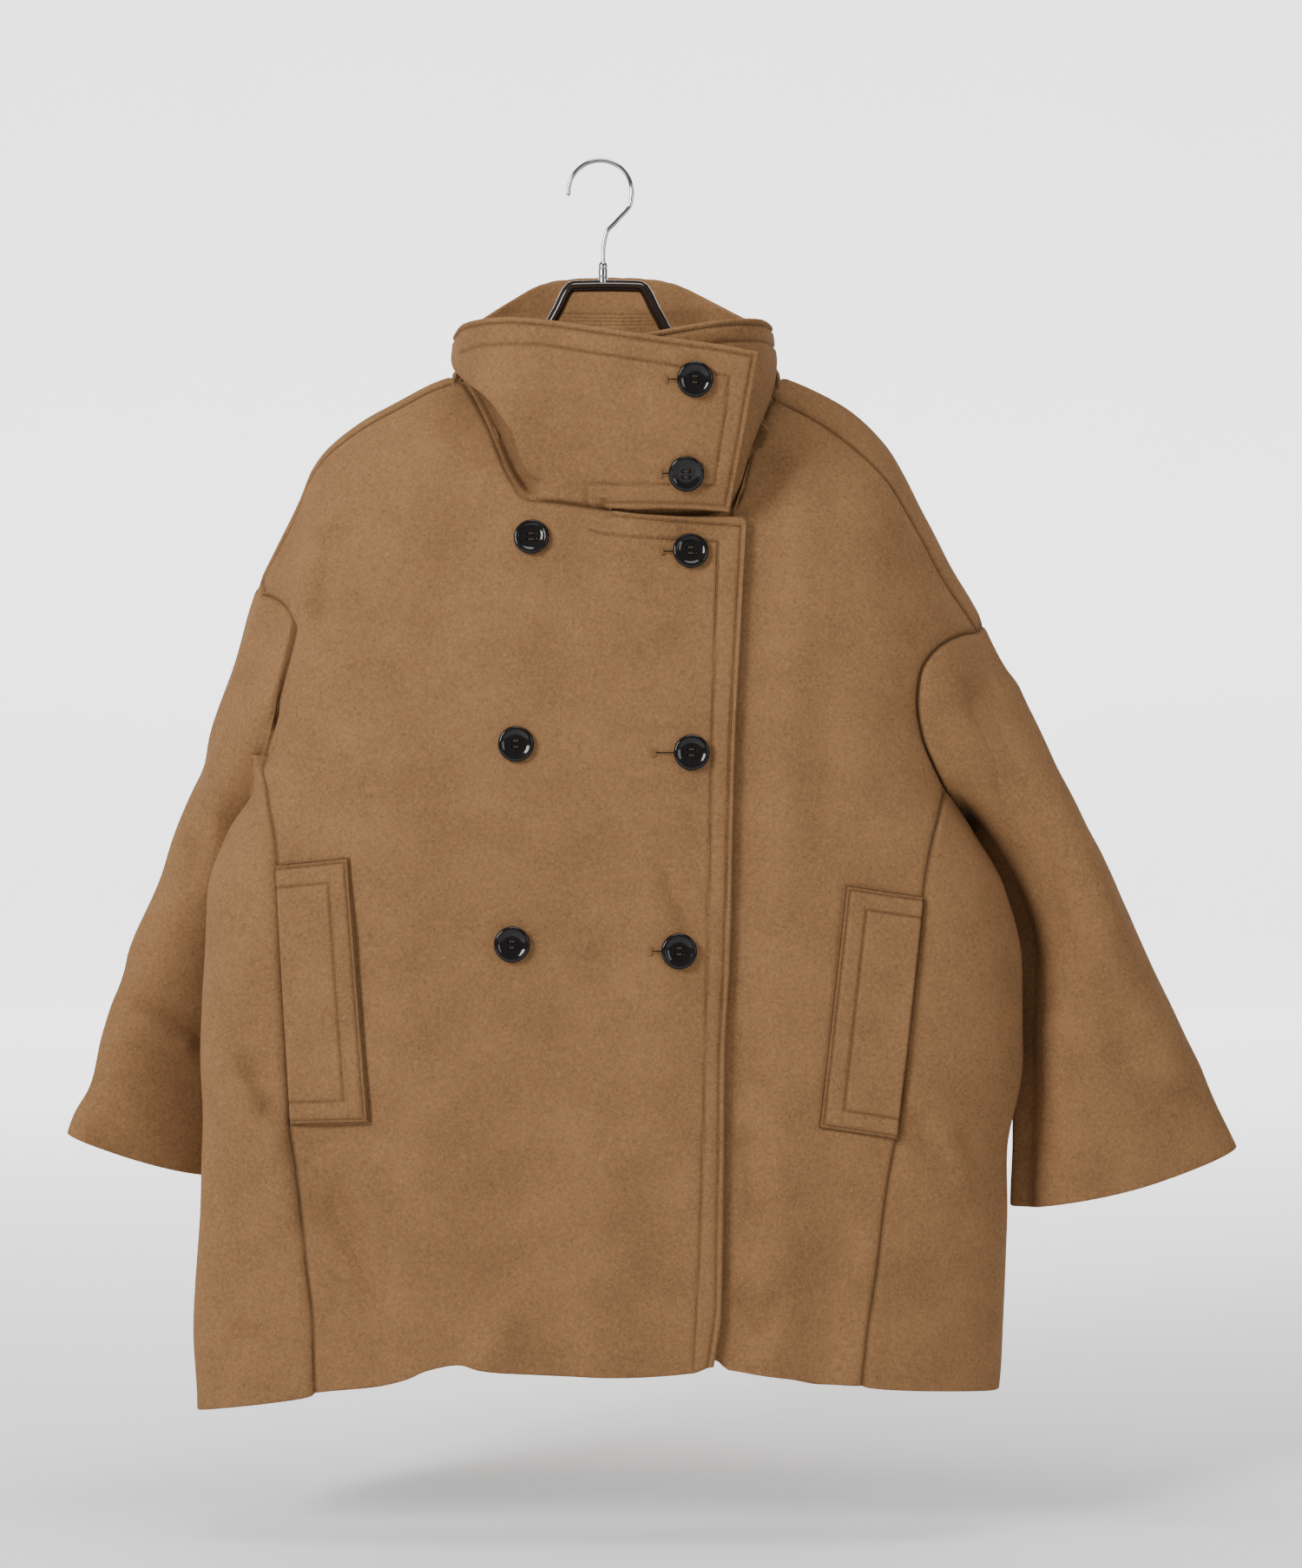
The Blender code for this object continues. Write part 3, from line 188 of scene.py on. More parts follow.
SLEEVE_CLEAR_RUN = 0.02                   # reached over this share of the sleeve's length
CLEAR_PASSES, SPREAD_PASSES, WIDEN_PASSES = 60, 26, 5     # the first few spreading passes widen the shift
SHIFT_RUN = 0.05                          # the shift grows over this share of the sleeve's length

# Collar: bottom free edge over the slit, by share of its length: across, lift off the front and height
FLAP_BOTTOM = ((0.0, 101, 6, -286), (0.33, 70, 5, -284), (0.7, 34, 3, -283.2), (1.0, 7, 0, -283))
# Collar's top edge, by share of each stretch: across, forward and height
FLAP_TOP = ((0.0, 123, 109, -166), (0.3, 90, 110, -160), (0.65, 46, 110, -154), (1.0, 1, 108, -147))
RIGHT_TOP = ((0.0, 1, 108, -147), (0.25, -43, 103, -140), (0.5, -77, 92, -137), (0.78, -105, 66, -138),
             (1.0, -114.5, 22, -143))
BACK_TOP = ((0.0, -114.5, 22, -143), (0.08, -112, -2, -137), (0.2, -97, -26, -121), (0.33, -67, -54, -98),
            (0.42, -43, -67, -84), (0.5, 6, -73, -80), (0.58, 50, -68, -83), (0.68, 82, -53, -98),
            (0.82, 116, -22, -120), (0.93, 134, 4, -131), (1.0, 138, 24, -134))
LEFT_TOP = ((0.0, 138, 24, -134), (0.22, 130, 60, -134), (0.42, 108, 86, -137), (0.6, 84, 97, -141),
            (0.78, 52, 99, -147), (1.0, 5, 99, -156))
# How far the collar's middle swells outward, by share of its height
COLLAR_BULGE = ((0.0, 0.0), (0.25, 3.0), (0.5, 4.0), (0.75, 2.0), (1.0, 0.0))

# Pocket welts: top and bottom corners, at the front side and at the side seam, seen from the front
WELT_RIGHT = ((-189, -550), (-244.5, -556), (-173, -751), (-233, -753))
WELT_LEFT = ((188.5, -571), (247, -580), (167.5, -754.5), (227, -764))

# Buttons
BUTTON_SIZE = 27.5
BUTTON_HOLE = 2.2
HOLE_PITCH = 4.6
BUTTON_GAP = 1.2
# Name, across and height of each button's middle, and what it is sewn on
BUTTONS = (
    ("button_collar_top", 73.9, -186.5, "collar"),
    ("button_collar_low", 67.3, -256.8, "collar"),
    ("button_front_1", 70.6, -316.0, "front"),
    ("button_front_2", 71.3, -470.3, "front"),
    ("button_front_3", 61.4, -620.8, "front"),
    ("button_row_1", -50.9, -305.4, "front"),
    ("button_row_2", -62.1, -463.8, "front"),
    ("button_row_3", -64.7, -615.5, "front"),
)

# Hanger
HOOK_ROD = 3.6
HOOK_RADIUS = 25.2                        # to the middle of the rod
HOOK_TURN = (183, 3)                      # the arc's start and end, in degrees from +X
HOOK_SHANK = ((25.9, -21.4), (24.0, -33.0), (13.5, -46.0), (5.0, -56.0), (2.6, -69.0), (2.2, -84.0))
FERRULE_X, FERRULE_SIZE, FERRULE_TOP, FERRULE_LOW = 2.2, 7.4, -82.0, -93.5
FERRULE_GROOVES = (2.2, 9.5)              # below its top
# Arms: across and height of the bar's middle, half its depth and half its height
HANGER_ARMS = (
    (-216, -251, 7, 6), (-190, -231, 9, 8), (-150, -209, 9, 8), (-110, -193, 9, 8), (-70, -167, 8, 6),
    (-48, -144, 6, 4.5), (-34, -119, 6, 4.2), (-21, -99, 6, 4.2), (5, -98.5, 6, 4.2), (31, -99, 6, 4.2),
    (44, -119, 6, 4.2), (58, -143, 6, 4.5), (88, -169, 8, 6), (139, -196, 9, 8), (180, -213, 9, 8),
    (215, -240, 9, 8), (237, -264, 7, 6),
)

STRIP_ENDS, STRIP_HALF, STRIP_LIFT = (-62, 72), (3.2, 0.7), 4.2       # bright strip under the neck's arch

NECK_CREST, NECK_SPREAD, NECK_FADE = 6.0, 0.08, 155       # the back's crest line over the neck
UNDER_SHARE = 0.7         # how far the collar's left end runs under the flap, of the left neck seam

# Lengths across and down that the steps of each grid are counted on, and the steps
FRONT_WIDE, FRONT_TALL, FRONT_LEFT_TALL = 345, 640, 650
SIDE_TALL, SIDE_AROUND = 490, 230
BACK_WIDE, BACK_TALL = 640, 790
SLEEVE_LONG, SLEEVE_AROUND = 480, 144
EVEN_STEP, BACK_STEP, SLEEVE_STEP = 4.6, 4.8, 5.0

# ---------------------------------------------------------------- curves

def smooth(at, knots, values):
    """Monotone cubic through (knots, values): steps keep their shape and nothing overshoots."""
    knots, values = np.asarray(knots, float), np.asarray(values, float)
    if knots[0] > knots[-1]:
        knots, values = knots[::-1], values[::-1]
    gap = np.diff(knots)
    slope = np.diff(values) / gap
    tangent = np.empty_like(values)
    tangent[0], tangent[-1] = slope[0], slope[-1]
    same_way = slope[:-1] * slope[1:] > 0
    both = np.where(same_way, slope[:-1] + slope[1:], 1.0)
    tangent[1:-1] = np.where(same_way, 2.0 * slope[:-1] * slope[1:] / both, 0.0)
    at = np.clip(np.asarray(at, float), knots[0], knots[-1])
    cell = np.clip(np.searchsorted(knots, at) - 1, 0, len(gap) - 1)
    s = (at - knots[cell]) / gap[cell]
    start = (1 + 2 * s) * (1 - s) ** 2 * values[cell] + s * (1 - s) ** 2 * gap[cell] * tangent[cell]
    end = s ** 2 * (3 - 2 * s) * values[cell + 1] + s ** 2 * (s - 1) * gap[cell] * tangent[cell + 1]
    return start + end


def table_at(table, at, column=1):
    """A column of a table at places given in its first column."""
    return smooth(at, [row[0] for row in table], [row[column] for row in table])


def lengths(points, axis=0):
    """Distance run up to each point: along a line, or along each row of a grid with axis 1."""
    steps = np.linalg.norm(np.diff(points, axis=axis), axis=-1)
    return np.insert(np.cumsum(steps, axis=axis), 0, 0, axis=axis)


def angles(count):
    """Evenly spaced angles round a circle."""
    return np.arange(count) * 2 * math.pi / count


def along(points, steps):
    """A smooth curve through points, as steps + 1 points evenly spaced along it."""
    points = np.asarray(points, float)
    length = lengths(points)
    at = np.linspace(0, length[-1], steps + 1)
    return np.stack([smooth(at, length, points[:, axis]) for axis in range(points.shape[1])], axis=1)


def unit(vectors):
    """The vectors at length one."""
    return vectors / np.maximum(np.linalg.norm(vectors, axis=-1, keepdims=True), 1e-9)


def ease(share):
    """0 to 1 with soft ends."""
    share = np.clip(share, 0, 1)
    return share * share * (3 - 2 * share)


# ---------------------------------------------------------------- form of the body

TRUNK_VALUES = {name: np.array([row[i] for row in TRUNK], float) for i, name in enumerate(TRUNK_COLUMNS)}


def trunk(name, z):
    """One column of the body's table at height z."""
    return smooth(z, TRUNK_VALUES["z"], TRUNK_VALUES[name])


def trunk_span(z):
    """Middle and half width of the body at height z."""
    right, left = trunk("right_x", z), trunk("left_x", z)
    return (left + right) / 2, (left - right) / 2


def ridge(x):
    """Height of the line over the shoulders."""
    return table_at(RIDGE, x)


def fullness(drop):
    """0 on the ridge to 1 where the cloth has its full depth."""
    share = np.clip(drop / SHOULDER_DROP, 0, 1)
    return np.maximum(1 - (1 - share) ** 2, 0) ** SHOULDER_ROUND


def fold_height(x, z):
    """Sum of the large folds at a place on the front."""
    total = np.zeros(np.broadcast(x, z).shape)
    for x0, z0, x1, z1, height, width in FOLDS:
        run = np.array([x1 - x0, z1 - z0], float)
        share = np.clip(((x - x0) * run[0] + (z - z0) * run[1]) / (run @ run), 0, 1)
        away = np.hypot(x - x0 - share * run[0], z - z0 - share * run[1])
        total = total + height * np.exp(-(away / width) ** 2)
    return total


def depth(x, z, front):
    """How far the cloth lies in front of the hook: a superellipse section, thinned near the ridge."""
    middle, half = trunk_span(z)
    across = np.clip((x - middle) / half, -1, 1)
    edge = np.where(across < 0, trunk("right_y", z), trunk("left_y", z))
    reach, power = (trunk("front", z), trunk("front_n", z)) if front else (
        -trunk("back", z), trunk("back_n", z))
    curve = np.maximum(1 - np.abs(across) ** power, 0) ** (1 / power)
    return fullness(ridge(x) - z) * (edge + (reach - edge) * curve)


def body_point(x, drop):
    """A point of the body's form: drop below the ridge, down the front when it is negative."""
    x, drop = np.broadcast_arrays(np.asarray(x, float), np.asarray(drop, float))
    z = ridge(x) - np.abs(drop)
    forward = depth(x, z, True) + fold_height(x, z)
    y = np.where(drop < 0, -forward, -depth(x, z, False))
    return np.stack([x, y, z], axis=-1)


def body_inward(x, drop):
    """Direction into the coat at a point of the body's form."""
    step_x, step_drop = 4.0, 6.0
    across = body_point(x + step_x, drop) - body_point(x - step_x, drop)
    down = body_point(x, drop + step_drop) - body_point(x, drop - step_drop)
    return unit(np.cross(down, across))


def front_drop(points):
    """Seam points seen from the front, as (across, drop) on the front of the form."""
    points = np.asarray(points, float)
    return np.stack([points[:, 0], points[:, 1] - ridge(points[:, 0])], axis=1)


def back_drop(points):
    """Seam points seen from the front, as (across, drop) on the back of the form."""
    points = np.asarray(points, float)
    return np.stack([points[:, 0], ridge(points[:, 0]) - points[:, 1]], axis=1)


def lap_shift(points):
    """Set points of the left front back where the right front lies over them."""
    edge = smooth(points[..., 2], [row[1] for row in FRONT_EDGE], [row[0] for row in FRONT_EDGE])
    share = (points[..., 0] - edge - LAP_FADE_START) / (LAP_FADE_END - LAP_FADE_START)
    below_neck = ease((LAP_TOP - points[..., 2]) / LAP_TOP_RUN)
    shifted = points.copy()
    shifted[..., 1] += LAP_DEPTH * (1 - ease(share)) * below_neck
    return shifted



# ---------------------------------------------------------------- cloth detail

# Creases of the cloth, in the columns of FOLDS and before CREASE_RISE
FRONT_CREASES = (
    (-283, -702, -262, -735, 3.0, 9), (-262, -735, -246, -762, 3.5, 9), (-246, -762, -236, -820, 2.5, 12),
    (-262, -712, -250, -760, -2.5, 9), (-195, -815, -164, -876, -2.4, 11), (-180, -806, -150, -868, 2.2, 12),
    (-272, -912, -252, -915, -1.8, 6), (-240, -880, -228, -905, -1.5, 8), (54, -568, 73, -605, -2.2, 8),
    (66, -562, 84, -600, 1.8, 8), (116, -770, 124, -816, -2.2, 9), (112, -885, 124, -905, -2.0, 7),
    (137, -885, 124, -905, -2.0, 7), (248, -753, 264, -790, -2.4, 9), (262, -757, 280, -800, 1.8, 10),
    (-206, -300, -212, -362, -2.6, 9), (-222, -300, -228, -362, 2.2, 9), (-150, -470, -140, -640, 1.5, 34),
    (-40, -700, -60, -860, -1.6, 30), (10, -780, 4, -930, 1.8, 26), (-100, -300, -140, -420, -2.0, 30),
    (205, -300, 212, -420, 1.8, 22), (176, -420, 168, -560, -1.6, 24), (-20, -330, -36, -420, -1.4, 20),
    (-240, -372, -257, -475, -3.0, 7), (-246, -360, -262, -480, 1.6, 9), (-232, -860, -222, -950, 2.0, 12),
    (205, -850, 196, -940, 1.8, 14), (-70, -905, -84, -934, 1.8, 16),
)
BACK_CREASES = (
    (-190, -300, -150, -470, -3.0, 22), (190, -310, 160, -480, -3.0, 22), (-150, -250, -60, -300, -2.0, 18),
    (150, -260, 70, -300, -2.0, 18), (-120, -520, -110, -900, 3.0, 38), (20, -560, 6, -930, -2.6, 42),
    (140, -520, 150, -920, 3.0, 36), (-240, -600, -200, -760, -2.4, 20), (236, -620, 200, -780, -2.4, 20),
    (-60, -240, 60, -250, 1.6, 20), (-200, -830, -160, -930, 2.2, 18), (210, -850, 170, -940, 2.0, 18),
)
SLEEVE_CREASES = {
    "right": ((-380, -650, -318, -690, -3.0, 12), (-372, -672, -330, -700, 2.4, 10),
              (-384, -590, -330, -560, -2.4, 16), (-330, -470, -286, -520, -2.0, 14),
              (-420, -735, -405, -790, 2.0, 12)),
    "left": ((300, -430, 352, -560, -3.0, 16), (330, -420, 392, -600, 2.6, 18),
             (345, -600, 410, -700, -3.0, 18), (372, -560, 452, -720, 2.4, 20),
             (350, -690, 380, -800, 2.0, 14), (318, -500, 350, -620, -2.2, 14)),
}

# Stitch lines, seen from the front
BOX_CORNER, BOX_LOW = (-9, -264), (-10, -298)
COLLAR_LINE = ((-108, -159.5), (-88, -157.5), (-45, -159), (-10, -165), (26, -171), (52, -175), (90, -182.5),
               (100, -184.5))
COLLAR_SIDE_LINE = ((100, -184.5), (97.6, -210), (92.4, -245), (88.4, -265.5))
BOX_TOP = ((88.4, -265.5), (40, -265.2), BOX_CORNER)
# Left side of the stitched box, on the collar and on the front, and the latter's thread
BOX_SIDE = (BOX_CORNER, (-9.4, -281))
BOX_SIDE_LOW = (BOX_LOW, (-9.7, -285))
BOX_SIDE_THREAD = ((-9.7, -284), BOX_LOW)
SLIT_LINE, SLIT_LINE_END = ((8, -283), (60, -287.4)), -290.4      # the front's edge line beside the slit
BOX_BOTTOM = (BOX_LOW, (6, -302.5), (26, -304.6), (92, -307.2))
FRONT_LINE = ((92, -307.2), (87, -459), (83, -637), (82.4, -690), (77, -860), (72.5, -936))
CREASE_RISE = 2.1         # strength of all creases
SLEEVE_BEHIND = 15.0      # the left sleeve's inner edge runs on behind the body
BEHIND_FROM, BEHIND_RUN = 0.08, 0.2               # from this share of its length, over this share
SLEEVE_CLOSE = 12.0       # the right sleeve's inner edge lies against the body
CLOSE_RUN, CLOSE_END, CLOSE_FADE = 0.06, 0.55, 0.3        # growing, ending and fading, in the same shares
LINE_DEPTH, LINE_WIDTH = 1.4, 1.5         # groove of a stitch line
EDGE_LINE_DEPTH = 1.5
FRONT_LINE_IN, BOX_ROWS = 20, (12, 16, 20)       # where the right front's grid is fine, from its edges
FACING_WIDE, FACING_FADE = 70, 25         # the facing ends this far from the front edge
ROLL_IN = 4.6             # first stitch line, from the edge
SEAM_DIP, SEAM_WIDTH = 2.0, 2.2           # valley of a seam
SHADE_DEPTH = 1.7         # a groove this deep has its full painted shade
EDGE_ROUND = 0.94         # how much of half its thickness an edge is rounded by
INNER_FOLLOW = 0.4
TUCK = 4.0                # how far a sewn edge runs on under its neighbour
STITCH_PITCH, STITCH_LONG, STITCH_THICK = 3.7, 2.6, 0.42
THREAD_SUNK, RUN_STEPS = 0.75, 12         # share of a groove's depth where the thread lies, and its steps
STITCH_PAST = 0.12        # share of its length by which a stitch dives in at each end
STITCH_RISE = (-1.1, 0.35, 0.35, -1.1)    # height of a stitch's rings, and their size, in thicknesses
STITCH_FULL = (0.5, 1.0, 1.0, 0.5)
STITCH_FLAT = 0.8         # a stitch's height for its width
THREAD_SIDES = 6


def line_distance(points, line):
    """Shortest distance from each point to a line of points, over all its segments at once."""
    points, line = np.asarray(points, float), np.asarray(line, float)
    shape = points.shape[:-1]
    flat = points.reshape(-1, points.shape[-1])
    best = np.full(len(flat), 1e9)
    for start, end in zip(line[:-1], line[1:]):
        run = end - start
        share = np.clip((flat - start) @ run / max(run @ run, 1e-9), 0, 1)
        best = np.minimum(best, np.linalg.norm(flat - start - share[:, None] * run, axis=1))
    return best.reshape(shape)


def seen(points):
    """Across and height of points, as seen from the front."""
    return points[..., [0, 2]]


def valley(points, *lines, depth=LINE_DEPTH, width=LINE_WIDTH):
    """Bell-shaped groove along lines seen from the front: depth * exp(-(distance / width)^2)."""
    distance = np.min([line_distance(seen(points), line) for line in lines], axis=0)
    return -depth * np.exp(-(distance / width) ** 2)


def creases(points, table):
    """Sum of soft ridges and troughs along the lines of a table, each fading over its width."""
    total = np.zeros(points.shape[:-1])
    for x0, z0, x1, z1, height, width in table:
        away = line_distance(seen(points), ((x0, z0), (x1, z1)))
        total += CREASE_RISE * height * np.exp(-(away / width) ** 2)
    return total


def unevenness(points, size=1.0):
    """Slow swell of thick cloth: crossed sine waves of 80 to 400 mm, and upright drapes that grow downward."""
    x, y, z = points[..., 0], points[..., 1], points[..., 2]
    drapes = np.sin(x / 21 + 1.3 * np.sin(z / 140) + 0.6) * np.sin(z / 160 + x / 90 + 2.0)
    return size * (np.sin(x / 29 + z / 67 + 0.8) * np.sin(z / 24 - y / 41)
                   + 0.4 * np.sin(x / 13 - z / 31 + 2.1) * np.sin(z / 17 + x / 47)
                   + 1.9 * drapes * ease((-180 - z) / 420))


SPACING_POINTS = 4000     # points that the steps along a length are summed over


def spacing(length, marks, coarse=5.0, fine=0.9, reach=3.0):
    """Shares 0 to 1 along a length: steps are coarse, and fine near the marked distances."""
    at = np.linspace(0, length, SPACING_POINTS)
    near = np.max([np.exp(-((at - mark) / reach) ** 4) for mark in marks], axis=0)
    ease_out = np.max([np.exp(-((at - mark) / (3 * reach)) ** 2) for mark in marks], axis=0)
    step = coarse + (fine - coarse) * np.maximum(near, 0.75 * ease_out)
    count = np.concatenate(([0], np.cumsum((1 / step[1:] + 1 / step[:-1]) / 2 * np.diff(at))))
    return np.interp(np.linspace(0, count[-1], int(math.ceil(count[-1])) + 1), count, at) / length


def even_spacing(length):
    """Shares 0 to 1 along a length in steps of EVEN_STEP, fine at both ends."""
    return spacing(length, (0, length), EVEN_STEP)


def joined(*lines):
    """Several lines end to end, without repeating the points where they meet."""
    parts = [np.asarray(lines[0], float)] + [np.asarray(line, float)[1:] for line in lines[1:]]
    return np.concatenate(parts)


def panel(top, bottom, start, end, across, down):
    """Coons patch of four boundary lines, at the given shares across and down."""
    top, bottom = resample_line(top, across), resample_line(bottom, across)
    start, end = resample_line(start, down), resample_line(end, down)
    u, v = across[:, None, None], down[None, :, None]
    ruled = (1 - v) * top[:, None] + v * bottom[:, None]
    sides = (1 - u) * start[None] + u * end[None]
    corners = ((1 - u) * (1 - v) * top[0] + u * (1 - v) * top[-1]
               + (1 - u) * v * bottom[0] + u * v * bottom[-1])
    return ruled + sides - corners


def resample_line(points, shares):
    """Points at the given shares of a line's length, straight between its points."""
    length = lengths(points)
    at = np.asarray(shares) * length[-1]
    return np.stack([np.interp(at, length, points[:, axis]) for axis in range(points.shape[1])], axis=1)


def outward(points, closed=False):
    """Direction out of the coat on a grid that runs counter-clockwise and then down."""
    if closed:
        across = np.roll(points, -1, axis=0) - np.roll(points, 1, axis=0)
    else:
        across = np.gradient(points, axis=0)
    return -unit(np.cross(across, np.gradient(points, axis=1)))


# ---------------------------------------------------------------- meshes

SURFACES = {}             # outer points and directions out of each cloth piece, by name
FACING_FRONT = -0.3       # a direction out whose y is less than this faces the front


def grid_faces(count_across, count_down, closed=False):
    """Four-sided faces of a grid of points, turned outward."""
    i, j = np.meshgrid(np.arange(count_across if closed else count_across - 1), np.arange(count_down - 1),
                       indexing="ij")
    k = (i + 1) % count_across
    corners = (i * count_down + j, i * count_down + j + 1, k * count_down + j + 1, k * count_down + j)
    return np.stack(corners, axis=-1).reshape(-1, 4)


def shell_faces(count_across, count_down, closed=False):
    """Faces of a wall: the outer grid, the inner grid and the rims that join them."""
    layer = count_across * count_down
    outer = grid_faces(count_across, count_down, closed)
    i = np.arange(count_across if closed else count_across - 1)
    k = (i + 1) % count_across
    top, top_next = i * count_down, k * count_down
    low, low_next = top + count_down - 1, top_next + count_down - 1
    rims = [np.stack([top, top_next, top_next + layer, top + layer], axis=1),
            np.stack([low + layer, low_next + layer, low_next, low], axis=1)]
    if not closed:
        j = np.arange(count_down - 1)
        last = (count_across - 1) * count_down + j
        rims.append(np.stack([j + layer, j + 1 + layer, j + 1, j], axis=1))
        rims.append(np.stack([last, last + 1, last + 1 + layer, last + layer], axis=1))
    return np.concatenate([outer, outer[:, ::-1] + layer] + rims)


def tube_faces(rings, around):
    """Faces of a tube of rings, each of around points."""
    i, j = np.meshgrid(np.arange(rings - 1), np.arange(around), indexing="ij")
    k = (j + 1) % around
    corners = (i * around + j, i * around + k, (i + 1) * around + k, (i + 1) * around + j)
    return np.stack(corners, axis=-1).reshape(-1, 4)


def thread_faces(rings):
    """Faces of a length of thread: a tube of THREAD_SIDES (six) sides, closed at both ends."""
    last = (rings - 1) * THREAD_SIDES
    caps = np.array([[3, 2, 1, 0], [0, 5, 4, 3], [last, last + 1, last + 2, last + 3],
                     [last + 3, last + 4, last + 5, last]])
    return np.concatenate([tube_faces(rings, THREAD_SIDES), caps])


def put_faces(name, points, faces, *materials, smooth_angle=50, shade=None):
    """A mesh object at the origin from points in millimetres and four-sided faces, with a per-point painted
    shade that darkens its seams and grooves.
    """
    mesh = bpy.data.meshes.new(name)
    mesh.vertices.add(len(points))
    mesh.vertices.foreach_set("co", (np.asarray(points, float) * MM).astype(np.float32).ravel())
    sides = faces.shape[1]
    mesh.loops.add(faces.size)
    mesh.loops.foreach_set("vertex_index", faces.astype(np.int32).ravel())
    mesh.polygons.add(len(faces))
    mesh.polygons.foreach_set("loop_start", np.arange(0, faces.size, sides, dtype=np.int32))
    mesh.update(calc_edges=True)
    mesh.validate()
    if shade is not None:
        values = np.zeros(len(points), np.float32)
        values[:shade.size] = np.clip(shade, 0, 1).ravel()
        mesh.attributes.new("shade", "FLOAT", "POINT").data.foreach_set("value", values)
    for item in materials:
        mesh.materials.append(item)
    mesh.shade_smooth()
    mesh.set_sharp_from_angle(angle=math.radians(smooth_angle))
    piece = bpy.data.objects.new(name, mesh)
    bpy.context.collection.objects.link(piece)
    return piece


def painted_crevice_shade(cuts):
    """Painted shade of seams and stitch lines: the square of how deep they are cut."""
    return np.clip(-cuts / SHADE_DEPTH, 0, 1) ** 2


def tucked(grid, out):
    """Where a sewn first row goes: on past the seam and in, so that it closes under the next piece."""
    return TUCK * unit(grid[:, 0] - grid[:, 3]) - TUCK / 2 * out[:, 0]


def put_wall(name, outer, inner, finish, shade=None, closed=False, reverse=False):
    """A wall's mesh from the grids of its outer and inner points."""
    points = np.concatenate([outer.reshape(-1, 3), inner.reshape(-1, 3)])
    faces = shell_faces(*outer.shape[:2], closed)
    return put_faces(name, points, faces[:, ::-1] if reverse else faces, finish, shade=shade)


def cloth_wall(name, grid, cuts, swell, thickness, fall, finish, closed=False, reverse=False):
    """A cloth wall: the grid moved out by its cuts and swell, its inner face thickness below, with its free
    edges rounded by fall. The inner face follows the cuts by INNER_FOLLOW of their depth."""
    out = outward(grid, closed) * (-1 if reverse else 1)
    height = cuts + swell
    outer = grid + out * (height - fall)[..., None]
    inner = grid + out * (np.minimum(height, 0) * INNER_FOLLOW - thickness + fall)[..., None]
    if closed:
        tuck = tucked(grid, out)
        outer[:, 0] += tuck
        inner[:, 0] += tuck
    SURFACES[name] = outer, out
    # painted shade: the wall's seams and stitch grooves are darkened in its colour
    return put_wall(name, outer, inner, finish, painted_crevice_shade(cuts), closed, reverse)


def stitches(name, runs, finish):
    """Sewing thread: short arched stitches sunk along runs of (points on the cloth, directions out)."""
    rings = len(STITCH_RISE)
    blocks = []
    for points, out in runs:
        length = lengths(points)
        count = max(1, int(length[-1] / STITCH_PITCH))
        start = np.arange(count) * length[-1] / count
        place = np.linspace(-STITCH_PAST, 1 + STITCH_PAST, rings)
        at = np.clip(start[:, None] + 0.5 * (STITCH_PITCH - STITCH_LONG) + place * STITCH_LONG, 0, length[-1])
        middle = np.stack([np.interp(at, length, points[:, k]) for k in range(3)], axis=-1)
        lift = np.stack([np.interp(at, length, out[:, k]) for k in range(3)], axis=-1)
        rise = STITCH_THICK * np.array(STITCH_RISE)
        middle = middle + lift * rise[None, :, None]
        side = unit(np.cross(lift, np.gradient(middle, axis=1)))
        angle = angles(THREAD_SIDES)
        size = STITCH_THICK * np.array(STITCH_FULL)[None, :, None, None]
        ring = (side[:, :, None] * np.cos(angle)[None, None, :, None]
                + lift[:, :, None] * np.sin(angle)[None, None, :, None] * STITCH_FLAT) * size
        blocks.append((middle[:, :, None] + ring).reshape(-1, 3))
    points = np.concatenate(blocks)
    first = np.arange(0, len(points), rings * THREAD_SIDES)
    faces = (thread_faces(rings)[None] + first[:, None, None]).reshape(-1, 4)
    return put_faces(name, points, faces, finish)


def finish_piece(piece, slot, *nodes):
    """Ride on the coat's one body and stand for the solids of the nodes, if any. The finish's slot is not used.
    """
    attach(piece, "root")
    if nodes:
        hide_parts(*nodes)
    return piece


# ---------------------------------------------------------------- seam lines of the coat

FINE = 160                # points of a fine line
OVER_TIP, UP_TO_TIP = 12, 8       # points of the armhole where it goes over the shoulder's tip
LINE_POINTS = 80          # points of a line that distances are measured to


def seam_lines(side):
    """Seam lines of one side as fine lines of (across, drop)."""
    right = side == "right"
    if right:
        x = np.linspace(*RIGHT_SHOULDER_X, FINE)
        shoulder = np.stack([x, np.full_like(x, -RIGHT_SHOULDER_DROP)], axis=1)
    else:
        shoulder = front_drop(along(LEFT_SHOULDER, FINE))
    arm_front = front_drop(along(RIGHT_ARM_FRONT if right else LEFT_ARM_FRONT, FINE))
    arm_front[0] = shoulder[-1]
    tip = np.array([RIGHT_SHOULDER_TIP if right else LEFT_SHOULDER_TIP, 0.0])
    up_back = back_drop(along(RIGHT_ARM_BACK if right else LEFT_ARM_BACK, FINE))
    over = tip + (shoulder[-1] - tip) * np.linspace(0, 1, OVER_TIP)[:, None]
    to_tip = up_back[-1] + (tip - up_back[-1]) * np.linspace(0, 1, UP_TO_TIP)[1:-1, None]
    arm_back = np.concatenate([up_back, to_tip, over])[::-1]
    side_front = front_drop(along(RIGHT_SIDE_FRONT if right else LEFT_SIDE_FRONT, FINE))
    side_back = back_drop(along(RIGHT_SIDE_BACK if right else LEFT_SIDE_BACK, FINE))
    side_front[0], side_back[0] = arm_front[-1], arm_back[-1]
    return {"shoulder": shoulder, "arm_front": arm_front, "arm_back": arm_back,
            "side_front": side_front, "side_back": side_back}


